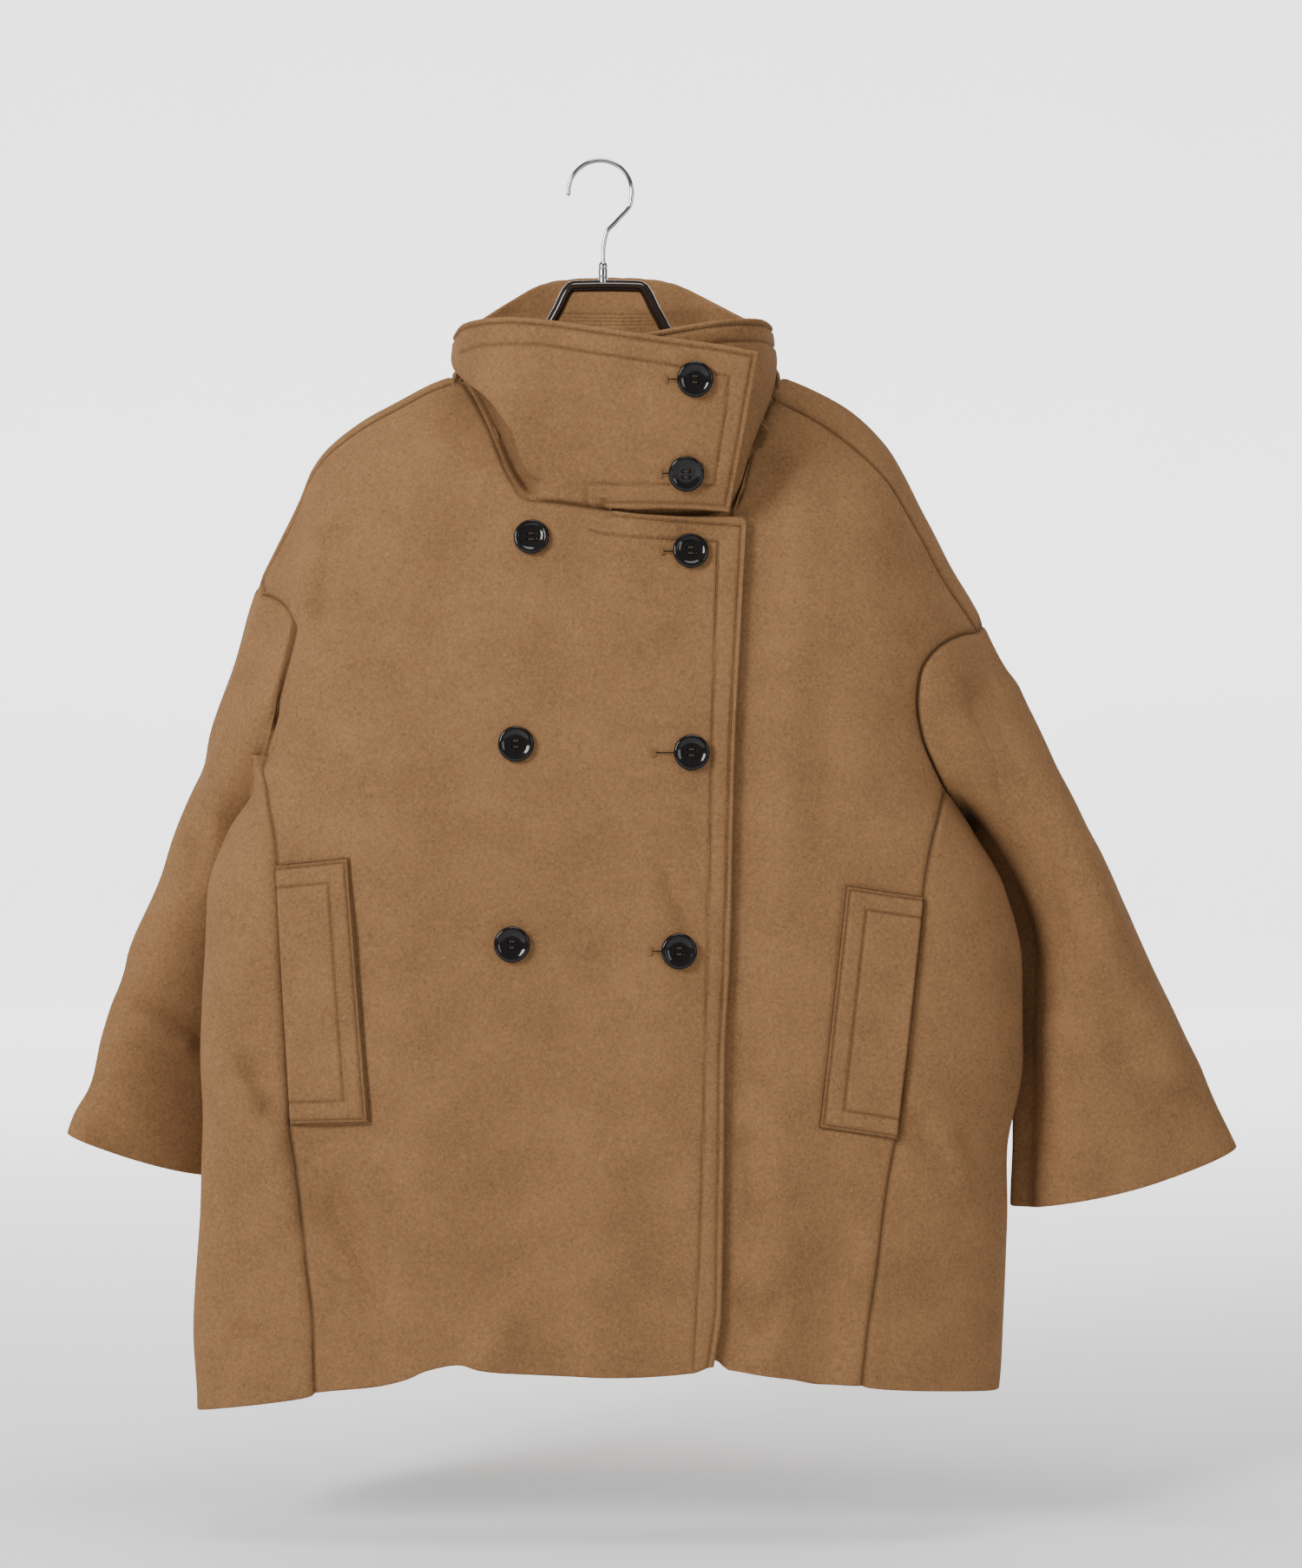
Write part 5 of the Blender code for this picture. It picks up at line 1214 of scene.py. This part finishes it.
# Resin button: distance from its axis and height of the turned form, 27.5 mm across
TURN = ((0, 3.1), (1.5, 3.1), (3.4, 3.1), (5.2, 3.1), (6.6, 3.15), (8.2, 3.45), (9.8, 4.05), (10.7, 4.5),
        (11.4, 4.6), (12.2, 4.48), (12.9, 4.1), (13.4, 3.5), (13.75, 2.5), (13.5, 1.6), (12.6, 0.7),
        (10.5, 0.05), (6, 0), (0, 0))
TURN_RADIUS = 13.75
PIT_DEPTH, PIT_SPREAD, PIT_EDGE = 1.9, 0.66, 0.5  # a thread hole's depth, radius for its size, and edge
BUTTON_AROUND = 72
FACE_ROWS, RIM_ROWS, PIT_ROWS = 34, 44, 40        # rows as far as the fifth point above, rows of the rest
THREAD_RADIUS, THREAD_RISE, THREAD_APART = 0.27, 0.45, 0.42       # button thread over the holes
HOLE_POINTS, HOLE_PAST = 60, 3.0          # a slot's points along, and how far it goes on under the button
LIP_APART, CORD_RADIUS, TACK_HALF = 1.15, 0.62, 3.0
SLOT_HALF, SLOT_THICK = 0.95, 0.8
# Buttonholes: the button each belongs to, and how far its left end lies from the button's middle
HOLES = (("button_front_1", 23), ("button_front_2", 30), ("button_front_3", 22.5), ("button_collar_top", 23),
         ("button_collar_low", 20.5))


def on_carrier(spots, carrier):
    """Points seen from the front, laid on the built collar or right front, and the directions out there."""
    return found_run(spots, *SURFACES["collar_cloth" if carrier == "collar" else "front_right_cloth"])


def upright(out):
    """Direction that is most upward on a surface facing out."""
    return unit(np.array([0.0, 0.0, 1.0]) - out[2] * out)


def carrier_frame(x, z, carrier, reach):
    """Place on top of the built cloth at a point seen from the front, and its directions out, across and up.
    The place is lifted to the highest point of the cloth within reach."""
    spots = np.array([(x + dx, z + dz) for dx in (-reach, 0, reach) for dz in (-reach, 0, reach)])
    points, ways = on_carrier(spots, carrier)
    out = unit(ways.mean(axis=0))
    up = upright(out)
    lift = max(0.0, float(np.max((points - points[4]) @ out)))
    return points[4] + out * lift, out, np.cross(up, out), up


def build_button(name, x, z, carrier, resin, thread):
    """A polished four-hole button: dished face inside a rounded rim, four pits, and thread across them."""
    knots = np.array(TURN, float)
    run = lengths(knots)
    at = np.concatenate([np.linspace(0, run[4], FACE_ROWS), np.linspace(run[4], run[-1], RIM_ROWS)[1:]])
    radius = np.maximum(np.interp(at, run, knots[:, 0]) * BUTTON_SIZE / 2 / TURN_RADIUS, 0.02)
    turn = angles(BUTTON_AROUND)
    flat_x, flat_y = radius * np.cos(turn)[:, None], radius * np.sin(turn)[:, None]
    rise = np.broadcast_to(smooth(at, run, knots[:, 1]), flat_x.shape).copy()
    pit = HOLE_PITCH / 2
    away = np.hypot(np.abs(flat_x) - pit, np.abs(flat_y) - pit)
    sunk = PIT_DEPTH * ease((BUTTON_HOLE * PIT_SPREAD - away) / PIT_EDGE)
    rise -= np.where(np.arange(len(at)) < PIT_ROWS, sunk, 0.0)
    place, out, across, up = carrier_frame(x, z, carrier, BUTTON_SIZE / 3)
    place = place + out * BUTTON_GAP / 2
    points = place + flat_x[..., None] * across + flat_y[..., None] * up + rise[..., None] * out
    piece = put_faces(name + "_resin", points.reshape(-1, 3), grid_faces(*flat_x.shape, closed=True), resin,
                      smooth_angle=60)
    turn_outward(piece)
    finish_piece(piece, "black_resin", name)
    loops = []
    share = np.linspace(-1, 1, 13)
    ends_down = 2 * THREAD_RISE * (np.abs(share) > 0.98)
    lift = TURN[0][1] + THREAD_RISE * np.sqrt(np.maximum(1 - share ** 4, 0)) - ends_down
    for side in (-pit, pit):
        for offset in (-THREAD_APART, 0.0, THREAD_APART):
            line = place + (share * pit)[:, None] * across + (side + offset) * up + lift[:, None] * out
            loops.append((line, np.tile(out, (len(share), 1))))
    finish_piece(swept(name + "_thread", loops, THREAD_RADIUS, thread), "black_resin")


def swept(name, runs, radius, finish):
    """Round threads swept along runs of (points, directions out), closed at both ends."""
    blocks, faces, first = [], [], 0
    angle = angles(THREAD_SIDES)
    for points, out in runs:
        run = unit(np.gradient(points, axis=0))
        side = unit(np.cross(run, out))
        up = np.cross(side, run)
        ring = points[:, None] + radius * (side[:, None] * np.cos(angle)[None, :, None]
                                           + up[:, None] * np.sin(angle)[None, :, None])
        blocks.append(ring.reshape(-1, 3))
        faces.append(first + thread_faces(len(points)))
        first += len(points) * THREAD_SIDES
    piece = put_faces(name, np.concatenate(blocks), np.concatenate(faces), finish)
    turn_outward(piece)
    return piece


def turn_outward(piece):
    """Turn a closed piece's faces outward."""
    shape = bmesh.new()
    shape.from_mesh(piece.data)
    bmesh.ops.recalc_face_normals(shape, faces=shape.faces)
    shape.to_mesh(piece.data)
    shape.free()


def build_buttonhole(name, x, z, carrier, left_end, thread, shadow):
    """Buttonhole beside a button: a dark slot of painted shadow between two corded lips, with a bar tack at its
    left end.
    """
    share = np.linspace(0, 1, HOLE_POINTS)
    spots = np.stack([x - left_end + share * (left_end + HOLE_PAST), np.full(HOLE_POINTS, z)], axis=1)
    line, out = on_carrier(spots, carrier)
    line = np.stack([smooth(share[::6], share[::6], line[::6, k]) for k in range(3)], axis=1)
    line = np.stack([smooth(share, share[::6], line[:, k]) for k in range(3)], axis=1)
    out = np.tile(unit(out.mean(axis=0)), (HOLE_POINTS, 1))
    up = upright(out[0])
    ripple = 0.1 * np.sin(np.arange(HOLE_POINTS) * 2.2)
    lips = [(line + side * up + (0.45 + ripple)[:, None] * out, out) for side in (-LIP_APART, LIP_APART)]
    bar_at = np.linspace(-1, 1, 12)
    for step in (0, 2, 4):
        arch = 0.55 + 0.4 * np.sqrt(1 - 0.9 * bar_at ** 2)
        tack = line[step] + (bar_at * TACK_HALF)[:, None] * up + arch[:, None] * out[0]
        lips.append((tack, np.tile(out[0], (len(tack), 1))))
    finish_piece(swept(name + "_hole_cord", lips, CORD_RADIUS, thread), "camel_wool")
    # the slot is a dark sheet of painted shadow in the slit
    lean = np.linspace(-1, 1, 5)[:, None, None]
    dark = line[None] + lean * SLOT_HALF * up + (CORD_RADIUS - 0.3 * lean ** 2) * out[None]
    slot = put_wall(name + "_hole_shadow_slot", dark, dark - SLOT_THICK * out[None], shadow)
    turn_outward(slot)
    finish_piece(slot, "camel_wool")


# ---------------------------------------------------------------- hanger

def bar(name, line, half_deep, half_high, finish, around=24, tip_rows=6, lift=0.0):
    """An oval bar swept along a line of (across, height) with rounded ends, its middle lifted off the line."""
    points = np.stack([line[:, 0], np.zeros(len(line)), line[:, 1]], axis=1)
    run = unit(np.gradient(points, axis=0))
    side = np.array([0.0, 1.0, 0.0])
    ups = np.cross(run, side)
    tip = np.linspace(math.pi / 2, 0, tip_rows + 1)[:-1]
    size = np.concatenate([np.cos(tip), np.ones(len(points)), np.cos(tip[::-1])])
    push = np.concatenate([-np.sin(tip), np.zeros(len(points)), np.sin(tip[::-1])])
    row = np.concatenate([np.zeros(tip_rows, int), np.arange(len(points)), np.full(tip_rows, len(points) - 1)])
    size = np.maximum(size, 0.02)[:, None, None]
    radius = np.minimum(half_deep, half_high)[row]
    middle = points[row] + run[row] * (push * radius)[:, None] + ups[row] * lift
    angle = angles(around)
    rings = middle[:, None] + size * (side * (half_deep[row, None] * np.cos(angle))[..., None]
                                      + ups[row][:, None] * (half_high[row, None] * np.sin(angle))[..., None])
    faces = [tube_faces(len(row), around)]
    for first in (0, (len(row) - 1) * around):
        step = np.arange(0, around - 2, 2)
        faces.append(np.stack([np.full(len(step), first), first + step + 1, first + step + 2,
                               first + (step + 3) % around], axis=1))
    piece = put_faces(name, rings.reshape(-1, 3), np.concatenate(faces), finish)
    turn_outward(piece)
    return piece


def build_hanger(plastic, chrome):
    """Hanger: glossy moulded arms with a bright strip round the neck, a ferrule and a bent rod hook."""
    table = along(HANGER_ARMS, 150)
    piece = bar("hanger_body_moulding", table[:, :2], table[:, 2], table[:, 3], plastic)
    finish_piece(piece, "brown_plastic", "hanger_body")
    neck = table[(table[:, 0] > STRIP_ENDS[0]) & (table[:, 0] < STRIP_ENDS[1])]
    half_deep, half_high = (np.full(len(neck), half) for half in STRIP_HALF)
    piece = bar("hanger_neck_strip", neck[:, :2], half_deep, half_high, chrome, around=12, tip_rows=3,
                lift=STRIP_LIFT)
    finish_piece(piece, "chrome_rod")
    z = np.linspace(FERRULE_TOP, FERRULE_LOW - 4.0, 40)
    grooves = sum(np.exp(-((z - FERRULE_TOP + below) / 0.5) ** 2) for below in FERRULE_GROOVES)
    ring = FERRULE_SIZE / 2 * (1 - 0.1 * grooves)
    piece = bar("hanger_ferrule_tube", np.stack([np.full_like(z, FERRULE_X), z], axis=1), ring, ring, chrome,
                around=32, tip_rows=3)
    finish_piece(piece, "chrome_rod", "hanger_ferrule")
    centre_z = -(HOOK_RADIUS - HOOK_ROD / 2)
    turn = np.radians(np.linspace(*HOOK_TURN, 90))
    arc = np.stack([HOOK_RADIUS * np.cos(turn), centre_z + HOOK_RADIUS * np.sin(turn)], axis=1)
    line = np.concatenate([arc, along(((HOOK_RADIUS, centre_z - 1.5),) + HOOK_SHANK[1:], 80)])
    rod = np.full(len(line), HOOK_ROD / 2)
    piece = bar("hanger_hook_rod", line, rod, rod, chrome)
    finish_piece(piece, "chrome_rod", "hanger_hook")


# ---------------------------------------------------------------- finishes

def fresh_tree(item):
    """The emptied node tree of a material or world."""
    item.use_nodes = True
    item.node_tree.nodes.clear()
    return item.node_tree


def node(tree, kind, inputs=None, **settings):
    """A node with its settings and socket values; a socket given another node's output is linked to it."""
    item = tree.nodes.new(kind)
    for key, value in settings.items():
        setattr(item, key, value)
    for key, value in (inputs or {}).items():
        if isinstance(value, bpy.types.NodeSocket):
            tree.links.new(value, item.inputs[key])
        else:
            item.inputs[key].default_value = value
    return item


def noise(tree, place, scale, detail=3.0, roughness=0.55):
    """Value of a noise texture at a place."""
    return node(tree, "ShaderNodeTexNoise", {"Vector": place, "Scale": scale, "Detail": detail,
                                             "Roughness": roughness}).outputs["Fac"]


def span(tree, value, low, high, to_low=0.0, to_high=1.0):
    """A value mapped from one range to another."""
    return node(tree, "ShaderNodeMapRange", {"Value": value, "From Min": low, "From Max": high,
                                             "To Min": to_low, "To Max": to_high}).outputs["Result"]


def compute(tree, operation, first, second):
    """Two values combined."""
    return node(tree, "ShaderNodeMath", {0: first, 1: second}, operation=operation).outputs[0]


BROAD_SCALE, NAP_SCALE, FIBRE_SCALE = 24.0, 420.0, 1300.0     # noise of the wool's mottle, nap and fibres
NAP_BEND = 0.006          # how far the nap is bent out of its noise
# Shares of the wool's colour in its darkest and lightest mottle, its flecks and its painted shade in seams and
# grooves
WOOL_DARK, WOOL_LIGHT, WOOL_FLECK, WOOL_PAINTED_SHADE = 0.52, 1.34, 1.6, 0.3
FLECK_AMOUNT, PAINTED_SHADE_AMOUNT, NAP_HEIGHT = 0.5, 0.62, 0.0009


def felt_group():
    """Node group of felted wool: its mottle, its short nap and its pressed fibres, as values."""
    group = bpy.data.node_groups.get("felted_nap") or bpy.data.node_groups.new("felted_nap", "ShaderNodeTree")
    if group.nodes:
        return group
    for name in ("Mottle", "Flecks", "Height"):
        group.interface.new_socket(name, in_out="OUTPUT", socket_type="NodeSocketFloat")
    place = node(group, "ShaderNodeTexCoord").outputs["Object"]
    drift = node(group, "ShaderNodeTexNoise", {"Vector": place, "Scale": NAP_SCALE, "Detail": 2.0})
    bent = node(group, "ShaderNodeVectorMath", {0: drift.outputs["Color"], 1: (NAP_BEND,) * 3},
                operation="MULTIPLY").outputs[0]
    moved = node(group, "ShaderNodeVectorMath", {0: place, 1: bent}, operation="ADD").outputs[0]
    broad = noise(group, place, BROAD_SCALE, 3.0)
    small = noise(group, moved, NAP_SCALE, 4.0, 0.7)
    fibres = noise(group, moved, FIBRE_SCALE, 3.0, 0.75)
    mottle = compute(group, "ADD", span(group, broad, 0.3, 0.7, -0.16, 0.16), span(group, small, 0.3, 0.7))
    flecks = span(group, fibres, 0.36, 0.66)
    height = compute(group, "ADD", small, compute(group, "MULTIPLY", fibres, 0.55))
    out = node(group, "NodeGroupOutput")
    for name, value in (("Mottle", mottle), ("Flecks", flecks), ("Height", height)):
        group.links.new(value, out.inputs[name])
    return group


def blended(tree, factor, first, second):
    """A colour between two colours."""
    mix = node(tree, "ShaderNodeMix", data_type="RGBA")
    for key, value in (("Factor_Float", factor), ("A_Color", first), ("B_Color", second)):
        socket = next(item for item in mix.inputs if item.identifier == key)
        if isinstance(value, bpy.types.NodeSocket):
            tree.links.new(value, socket)
        else:
            socket.default_value = value
    return next(item for item in mix.outputs if item.identifier == "Result_Color")


def shaded(colour, share):
    """A colour made darker or lighter by a share."""
    return tuple(min(1.0, channel * share) for channel in colour[:3]) + (1.0,)


def wool(name, colour, relief):
    """Felted wool: mottled colour, fine flecks of fibre, painted shade in seams and grooves from the shade
    attribute, soft sheen and a napped bump.
    """
    item = bpy.data.materials.new(name)
    tree = fresh_tree(item)
    felt = node(tree, "ShaderNodeGroup", node_tree=felt_group())
    tone = blended(tree, felt.outputs["Mottle"], shaded(colour, WOOL_DARK), shaded(colour, WOOL_LIGHT))
    flecks = compute(tree, "MULTIPLY", felt.outputs["Flecks"], FLECK_AMOUNT)
    tone = blended(tree, flecks, tone, shaded(colour, WOOL_FLECK))
    # painted shade: the shade attribute darkens the colour in seams, stitch grooves and the collar's recessed
    # strip
    cut = node(tree, "ShaderNodeAttribute", attribute_name="shade").outputs["Fac"]
    tone = blended(tree, compute(tree, "MULTIPLY", cut, PAINTED_SHADE_AMOUNT), tone, shaded(colour, WOOL_PAINTED_SHADE))
    bump = node(tree, "ShaderNodeBump", {"Height": felt.outputs["Height"], "Distance": NAP_HEIGHT,
                                         "Strength": relief})
    face = node(tree, "ShaderNodeBsdfPrincipled", {
        "Base Color": tone, "Roughness": 0.95, "Specular IOR Level": 0.1, "Sheen Weight": 0.06,
        "Sheen Roughness": 0.6, "Sheen Tint": shaded(colour, 1.7), "Normal": bump.outputs["Normal"]})
    node(tree, "ShaderNodeOutputMaterial", {"Surface": face.outputs["BSDF"]})
    return item


def gloss(name, colour, roughness, coat, metallic=0.0):
    """A polished finish with faint wear."""
    item = bpy.data.materials.new(name)
    tree = fresh_tree(item)
    place = node(tree, "ShaderNodeTexCoord").outputs["Object"]
    haze = noise(tree, place, 190.0, 4.0)
    base = blended(tree, span(tree, haze, 0.3, 0.7), shaded(colour, 0.85), shaded(colour, 1.12))
    ripple = node(tree, "ShaderNodeBump", {"Height": haze, "Distance": 0.0001, "Strength": 0.12})
    face = node(tree, "ShaderNodeBsdfPrincipled", {
        "Base Color": base, "Roughness": span(tree, haze, 0.3, 0.7, roughness * 0.8, roughness * 1.3),
        "Metallic": metallic, "Coat Weight": coat, "Coat Roughness": 0.05, "Specular IOR Level": 0.22,
        "Normal": ripple.outputs["Normal"]})
    node(tree, "ShaderNodeOutputMaterial", {"Surface": face.outputs["BSDF"]})
    return item


# the buttonhole slot's colour is painted shadow, dark as its opening in shade
SLOT_SHADOW_COLOUR, BUTTON_THREAD_COLOUR = (0.03, 0.018, 0.01, 1.0), (0.05, 0.035, 0.025, 1.0)
CHROME_COLOUR = (0.5, 0.5, 0.51, 1.0)


def finish(name):
    """A finish by name, made once."""
    known = bpy.data.materials.get("coat_" + name)
    if known:
        return known
    scene = bpy.context.scene
    camel, resin, moulding = (tuple(group.colour) + (1.0,)
                              for group in (scene.coat_cloth, scene.coat_buttons, scene.coat_hanger))
    nap = scene.coat_cloth.nap
    makers = {
        "wool": lambda key: wool(key, camel, nap),
        "double": lambda key: wool(key, camel, nap * 0.9),
        "thread": lambda key: wool(key, shaded(camel, 0.86), 0.3),
        # the slot finish paints the shadow in a buttonhole's opening
        "slot": lambda key: wool(key, SLOT_SHADOW_COLOUR, 0.3),
        "resin": lambda key: gloss(key, resin, 0.1, 0.08),
        "button_thread": lambda key: wool(key, BUTTON_THREAD_COLOUR, 0.3),
        "plastic": lambda key: gloss(key, moulding, 0.18, 0.6),
        "chrome": lambda key: gloss(key, CHROME_COLOUR, 0.12, 0.0, metallic=1.0),
    }
    return makers[name]("coat_" + name)


# ---------------------------------------------------------------- stage

# In metres
FLOOR_Z, FLOOR_WIDE, FLOOR_NEAR, WALL_FAR, WALL_TALL = -1.075, 18.0, -6.0, 6.0, 6.0
GLOW_RUN, GLOW = 3.0, 2.0                 # the paper glows more and more over this distance behind the coat
# Each light's name, place, what it aims at, size and power in watts
LIGHTS = (
    ("light_left", (-2.3, -2.3, 1.0), (0, 0, -0.5), (1.0, 1.5), 138),
    ("light_right", (2.5, -2.4, 0.3), (0, 0, -0.5), (0.8, 1.8), 30),
    ("light_top", (0.2, -0.5, 2.4), (0, 0, -0.4), (2.0, 1.2), 52),
)
WORLD_LIGHT, WORLD_SEEN = 0.2, 1.4        # strength of the world as light, and as the camera sees it
CAMERA_PLACE, CAMERA_LENS = (0.0404, -2.4, -0.494), 69.3


def build_stage(brightness):
    """Pale floor that curves up behind the coat, soft lights from above and both sides, and the camera."""
    turn = np.linspace(0, math.pi / 2, 16)
    curve = np.stack([WALL_FAR - 1 + np.sin(turn), 1 - np.cos(turn)], axis=1)
    line = np.concatenate([[(FLOOR_NEAR, 0.0)], curve, [(WALL_FAR, WALL_TALL)]])
    x, _ = np.meshgrid((-FLOOR_WIDE / 2, FLOOR_WIDE / 2), line[:, 0], indexing="ij")
    y, z = (np.tile(line[:, axis], (2, 1)) for axis in (0, 1))
    points = np.stack([x, y, z + FLOOR_Z], axis=-1)
    paper = bpy.data.materials.new("coat_paper")
    tree = fresh_tree(paper)
    place = node(tree, "ShaderNodeTexCoord").outputs["Object"]
    tone = blended(tree, noise(tree, place, 3.0, 2.0), (0.92, 0.92, 0.92, 1), (0.95, 0.95, 0.95, 1))
    far = node(tree, "ShaderNodeSeparateXYZ", {"Vector": place}).outputs["Y"]
    glow = blended(tree, span(tree, far, 0.0, GLOW_RUN), (0, 0, 0, 1), tone)
    face = node(tree, "ShaderNodeBsdfPrincipled", {"Base Color": tone, "Roughness": 0.9,
                                                    "Emission Color": glow, "Emission Strength": GLOW})
    node(tree, "ShaderNodeOutputMaterial", {"Surface": face.outputs["BSDF"]})
    floor = put_faces("floor", points.reshape(-1, 3) / MM, grid_faces(2, len(line))[:, ::-1], paper)
    for name, place, aim, size, power in LIGHTS:
        data = bpy.data.lights.new(name, "AREA")
        data.shape, data.size, data.size_y, data.energy = "RECTANGLE", size[0], size[1], power * brightness
        lamp = bpy.data.objects.new(name, data)
        lamp.location = place
        way = Vector(aim) - Vector(place)
        lamp.rotation_euler = way.to_track_quat("-Z", "Y").to_euler()
        bpy.context.collection.objects.link(lamp)
    world = bpy.data.worlds.new("studio")
    bpy.context.scene.world = world
    tree = fresh_tree(world)
    seen_ray = node(tree, "ShaderNodeLightPath").outputs["Is Camera Ray"]
    sky = node(tree, "ShaderNodeBackground", {
        "Color": (1.0, 1.0, 1.0, 1), "Strength": span(tree, seen_ray, 0, 1, WORLD_LIGHT * brightness,
                                                       WORLD_SEEN)})
    node(tree, "ShaderNodeOutputWorld", {"Surface": sky.outputs["Background"]})
    data = bpy.data.cameras.new("camera")
    data.lens, data.sensor_width, data.clip_end = CAMERA_LENS, 36, 50
    camera = bpy.data.objects.new("camera", data)
    camera.location = CAMERA_PLACE
    camera.rotation_euler = (math.pi / 2, 0, 0)
    bpy.context.collection.objects.link(camera)
    bpy.context.scene.camera = camera


# ---------------------------------------------------------------- add-on

class CoatCloth(bpy.types.PropertyGroup):
    """Wool and sewing of the coat."""
    colour: FloatVectorProperty(name="Wool colour", description="Mean colour of the felted wool",
                                subtype="COLOR", size=3, min=0, max=1, default=(0.194, 0.103, 0.046))
    nap: FloatProperty(name="Nap", description="Strength of the nap's relief", subtype="FACTOR",
                       min=0, max=1, default=0.6)


class CoatButtons(bpy.types.PropertyGroup):
    """Resin buttons."""
    colour: FloatVectorProperty(name="Button colour", description="Colour of the polished resin",
                                subtype="COLOR", size=3, min=0, max=1, default=(0.008, 0.007, 0.007))


class CoatHanger(bpy.types.PropertyGroup):
    """Moulded hanger."""
    colour: FloatVectorProperty(name="Hanger colour", description="Colour of the moulded arms",
                                subtype="COLOR", size=3, min=0, max=1, default=(0.022, 0.012, 0.008))


class CoatStage(bpy.types.PropertyGroup):
    """Floor, lights and camera."""
    brightness: FloatProperty(name="Brightness", description="Strength of all lights", min=0.1, max=4,
                              default=1.0)


class COAT_OT_fronts(bpy.types.Operator):
    """Build both fronts with their stitching"""
    bl_idname = "coat.fronts"
    bl_label = "Fronts"

    def execute(self, context):
        build_front_right(finish("wool"), finish("thread"))
        build_front_left(finish("wool"))
        return {"FINISHED"}


class COAT_OT_sides(bpy.types.Operator):
    """Build both side panels"""
    bl_idname = "coat.sides"
    bl_label = "Side panels"

    def execute(self, context):
        for side in ("right", "left"):
            build_side(side, finish("wool"))
        return {"FINISHED"}


class COAT_OT_back(bpy.types.Operator):
    """Build the back"""
    bl_idname = "coat.back"
    bl_label = "Back"

    def execute(self, context):
        build_back(finish("wool"))
        return {"FINISHED"}


class COAT_OT_sleeves(bpy.types.Operator):
    """Build both sleeves"""
    bl_idname = "coat.sleeves"
    bl_label = "Sleeves"

    def execute(self, context):
        for side in ("right", "left"):
            build_sleeve(side, finish("wool"))
        return {"FINISHED"}


class COAT_OT_collar(bpy.types.Operator):
    """Build the stand collar with its stitching"""
    bl_idname = "coat.collar"
    bl_label = "Collar"

    def execute(self, context):
        build_collar(finish("double"), finish("thread"))
        return {"FINISHED"}


class COAT_OT_welts(bpy.types.Operator):
    """Build both pocket welts with their stitching"""
    bl_idname = "coat.welts"
    bl_label = "Pocket welts"

    def execute(self, context):
        for side in ("right", "left"):
            build_welt(side, finish("wool"), finish("thread"))
        return {"FINISHED"}


class COAT_OT_buttons(bpy.types.Operator):
    """Build the eight buttons"""
    bl_idname = "coat.buttons"
    bl_label = "Buttons"

    def execute(self, context):
        for name, x, z, carrier in BUTTONS:
            build_button(name, x, z, carrier, finish("resin"), finish("button_thread"))
        return {"FINISHED"}


class COAT_OT_buttonholes(bpy.types.Operator):
    """Build the five buttonholes"""
    bl_idname = "coat.buttonholes"
    bl_label = "Buttonholes"

    def execute(self, context):
        places = {row[0]: row for row in BUTTONS}
        for name, left_end in HOLES:
            build_buttonhole(*places[name], left_end, finish("thread"), finish("slot"))
        return {"FINISHED"}


class COAT_OT_hanger(bpy.types.Operator):
    """Build the hanger, its ferrule and its hook"""
    bl_idname = "coat.hanger"
    bl_label = "Hanger"

    def execute(self, context):
        build_hanger(finish("plastic"), finish("chrome"))
        return {"FINISHED"}


class COAT_OT_stage(bpy.types.Operator):
    """Build the floor, the lights and the camera"""
    bl_idname = "coat.stage"
    bl_label = "Stage"

    def execute(self, context):
        build_stage(context.scene.coat_stage.brightness)
        return {"FINISHED"}


OPERATORS = (COAT_OT_fronts, COAT_OT_sides, COAT_OT_back, COAT_OT_sleeves, COAT_OT_collar, COAT_OT_welts,
             COAT_OT_buttons, COAT_OT_buttonholes, COAT_OT_hanger, COAT_OT_stage)
GROUPS = {"coat_cloth": CoatCloth, "coat_buttons": CoatButtons, "coat_hanger": CoatHanger,
          "coat_stage": CoatStage}


class COAT_PT_panel(bpy.types.Panel):
    """Lists the coat's settings and pieces"""
    bl_idname = "COAT_PT_panel"
    bl_label = "Stand collar coat"
    bl_space_type = "VIEW_3D"
    bl_region_type = "UI"
    bl_category = "Coat"

    def draw(self, context):
        for name, group in GROUPS.items():
            box = self.layout.box()
            box.label(text=group.__doc__)
            for key in group.__annotations__:
                box.prop(getattr(context.scene, name), key)
        for operator in OPERATORS:
            self.layout.operator(operator.bl_idname)


def register():
    for item in (*GROUPS.values(), *OPERATORS, COAT_PT_panel):
        bpy.utils.register_class(item)
    for name, group in GROUPS.items():
        setattr(bpy.types.Scene, name, PointerProperty(type=group))


def unregister():
    for name in GROUPS:
        delattr(bpy.types.Scene, name)
    for item in (COAT_PT_panel, *reversed(OPERATORS), *reversed(tuple(GROUPS.values()))):
        bpy.utils.unregister_class(item)


def main():
    register()
    for operator in OPERATORS:
        group, name = operator.bl_idname.split(".")
        getattr(getattr(bpy.ops, group), name)()


if __name__ == "__main__":
    main()
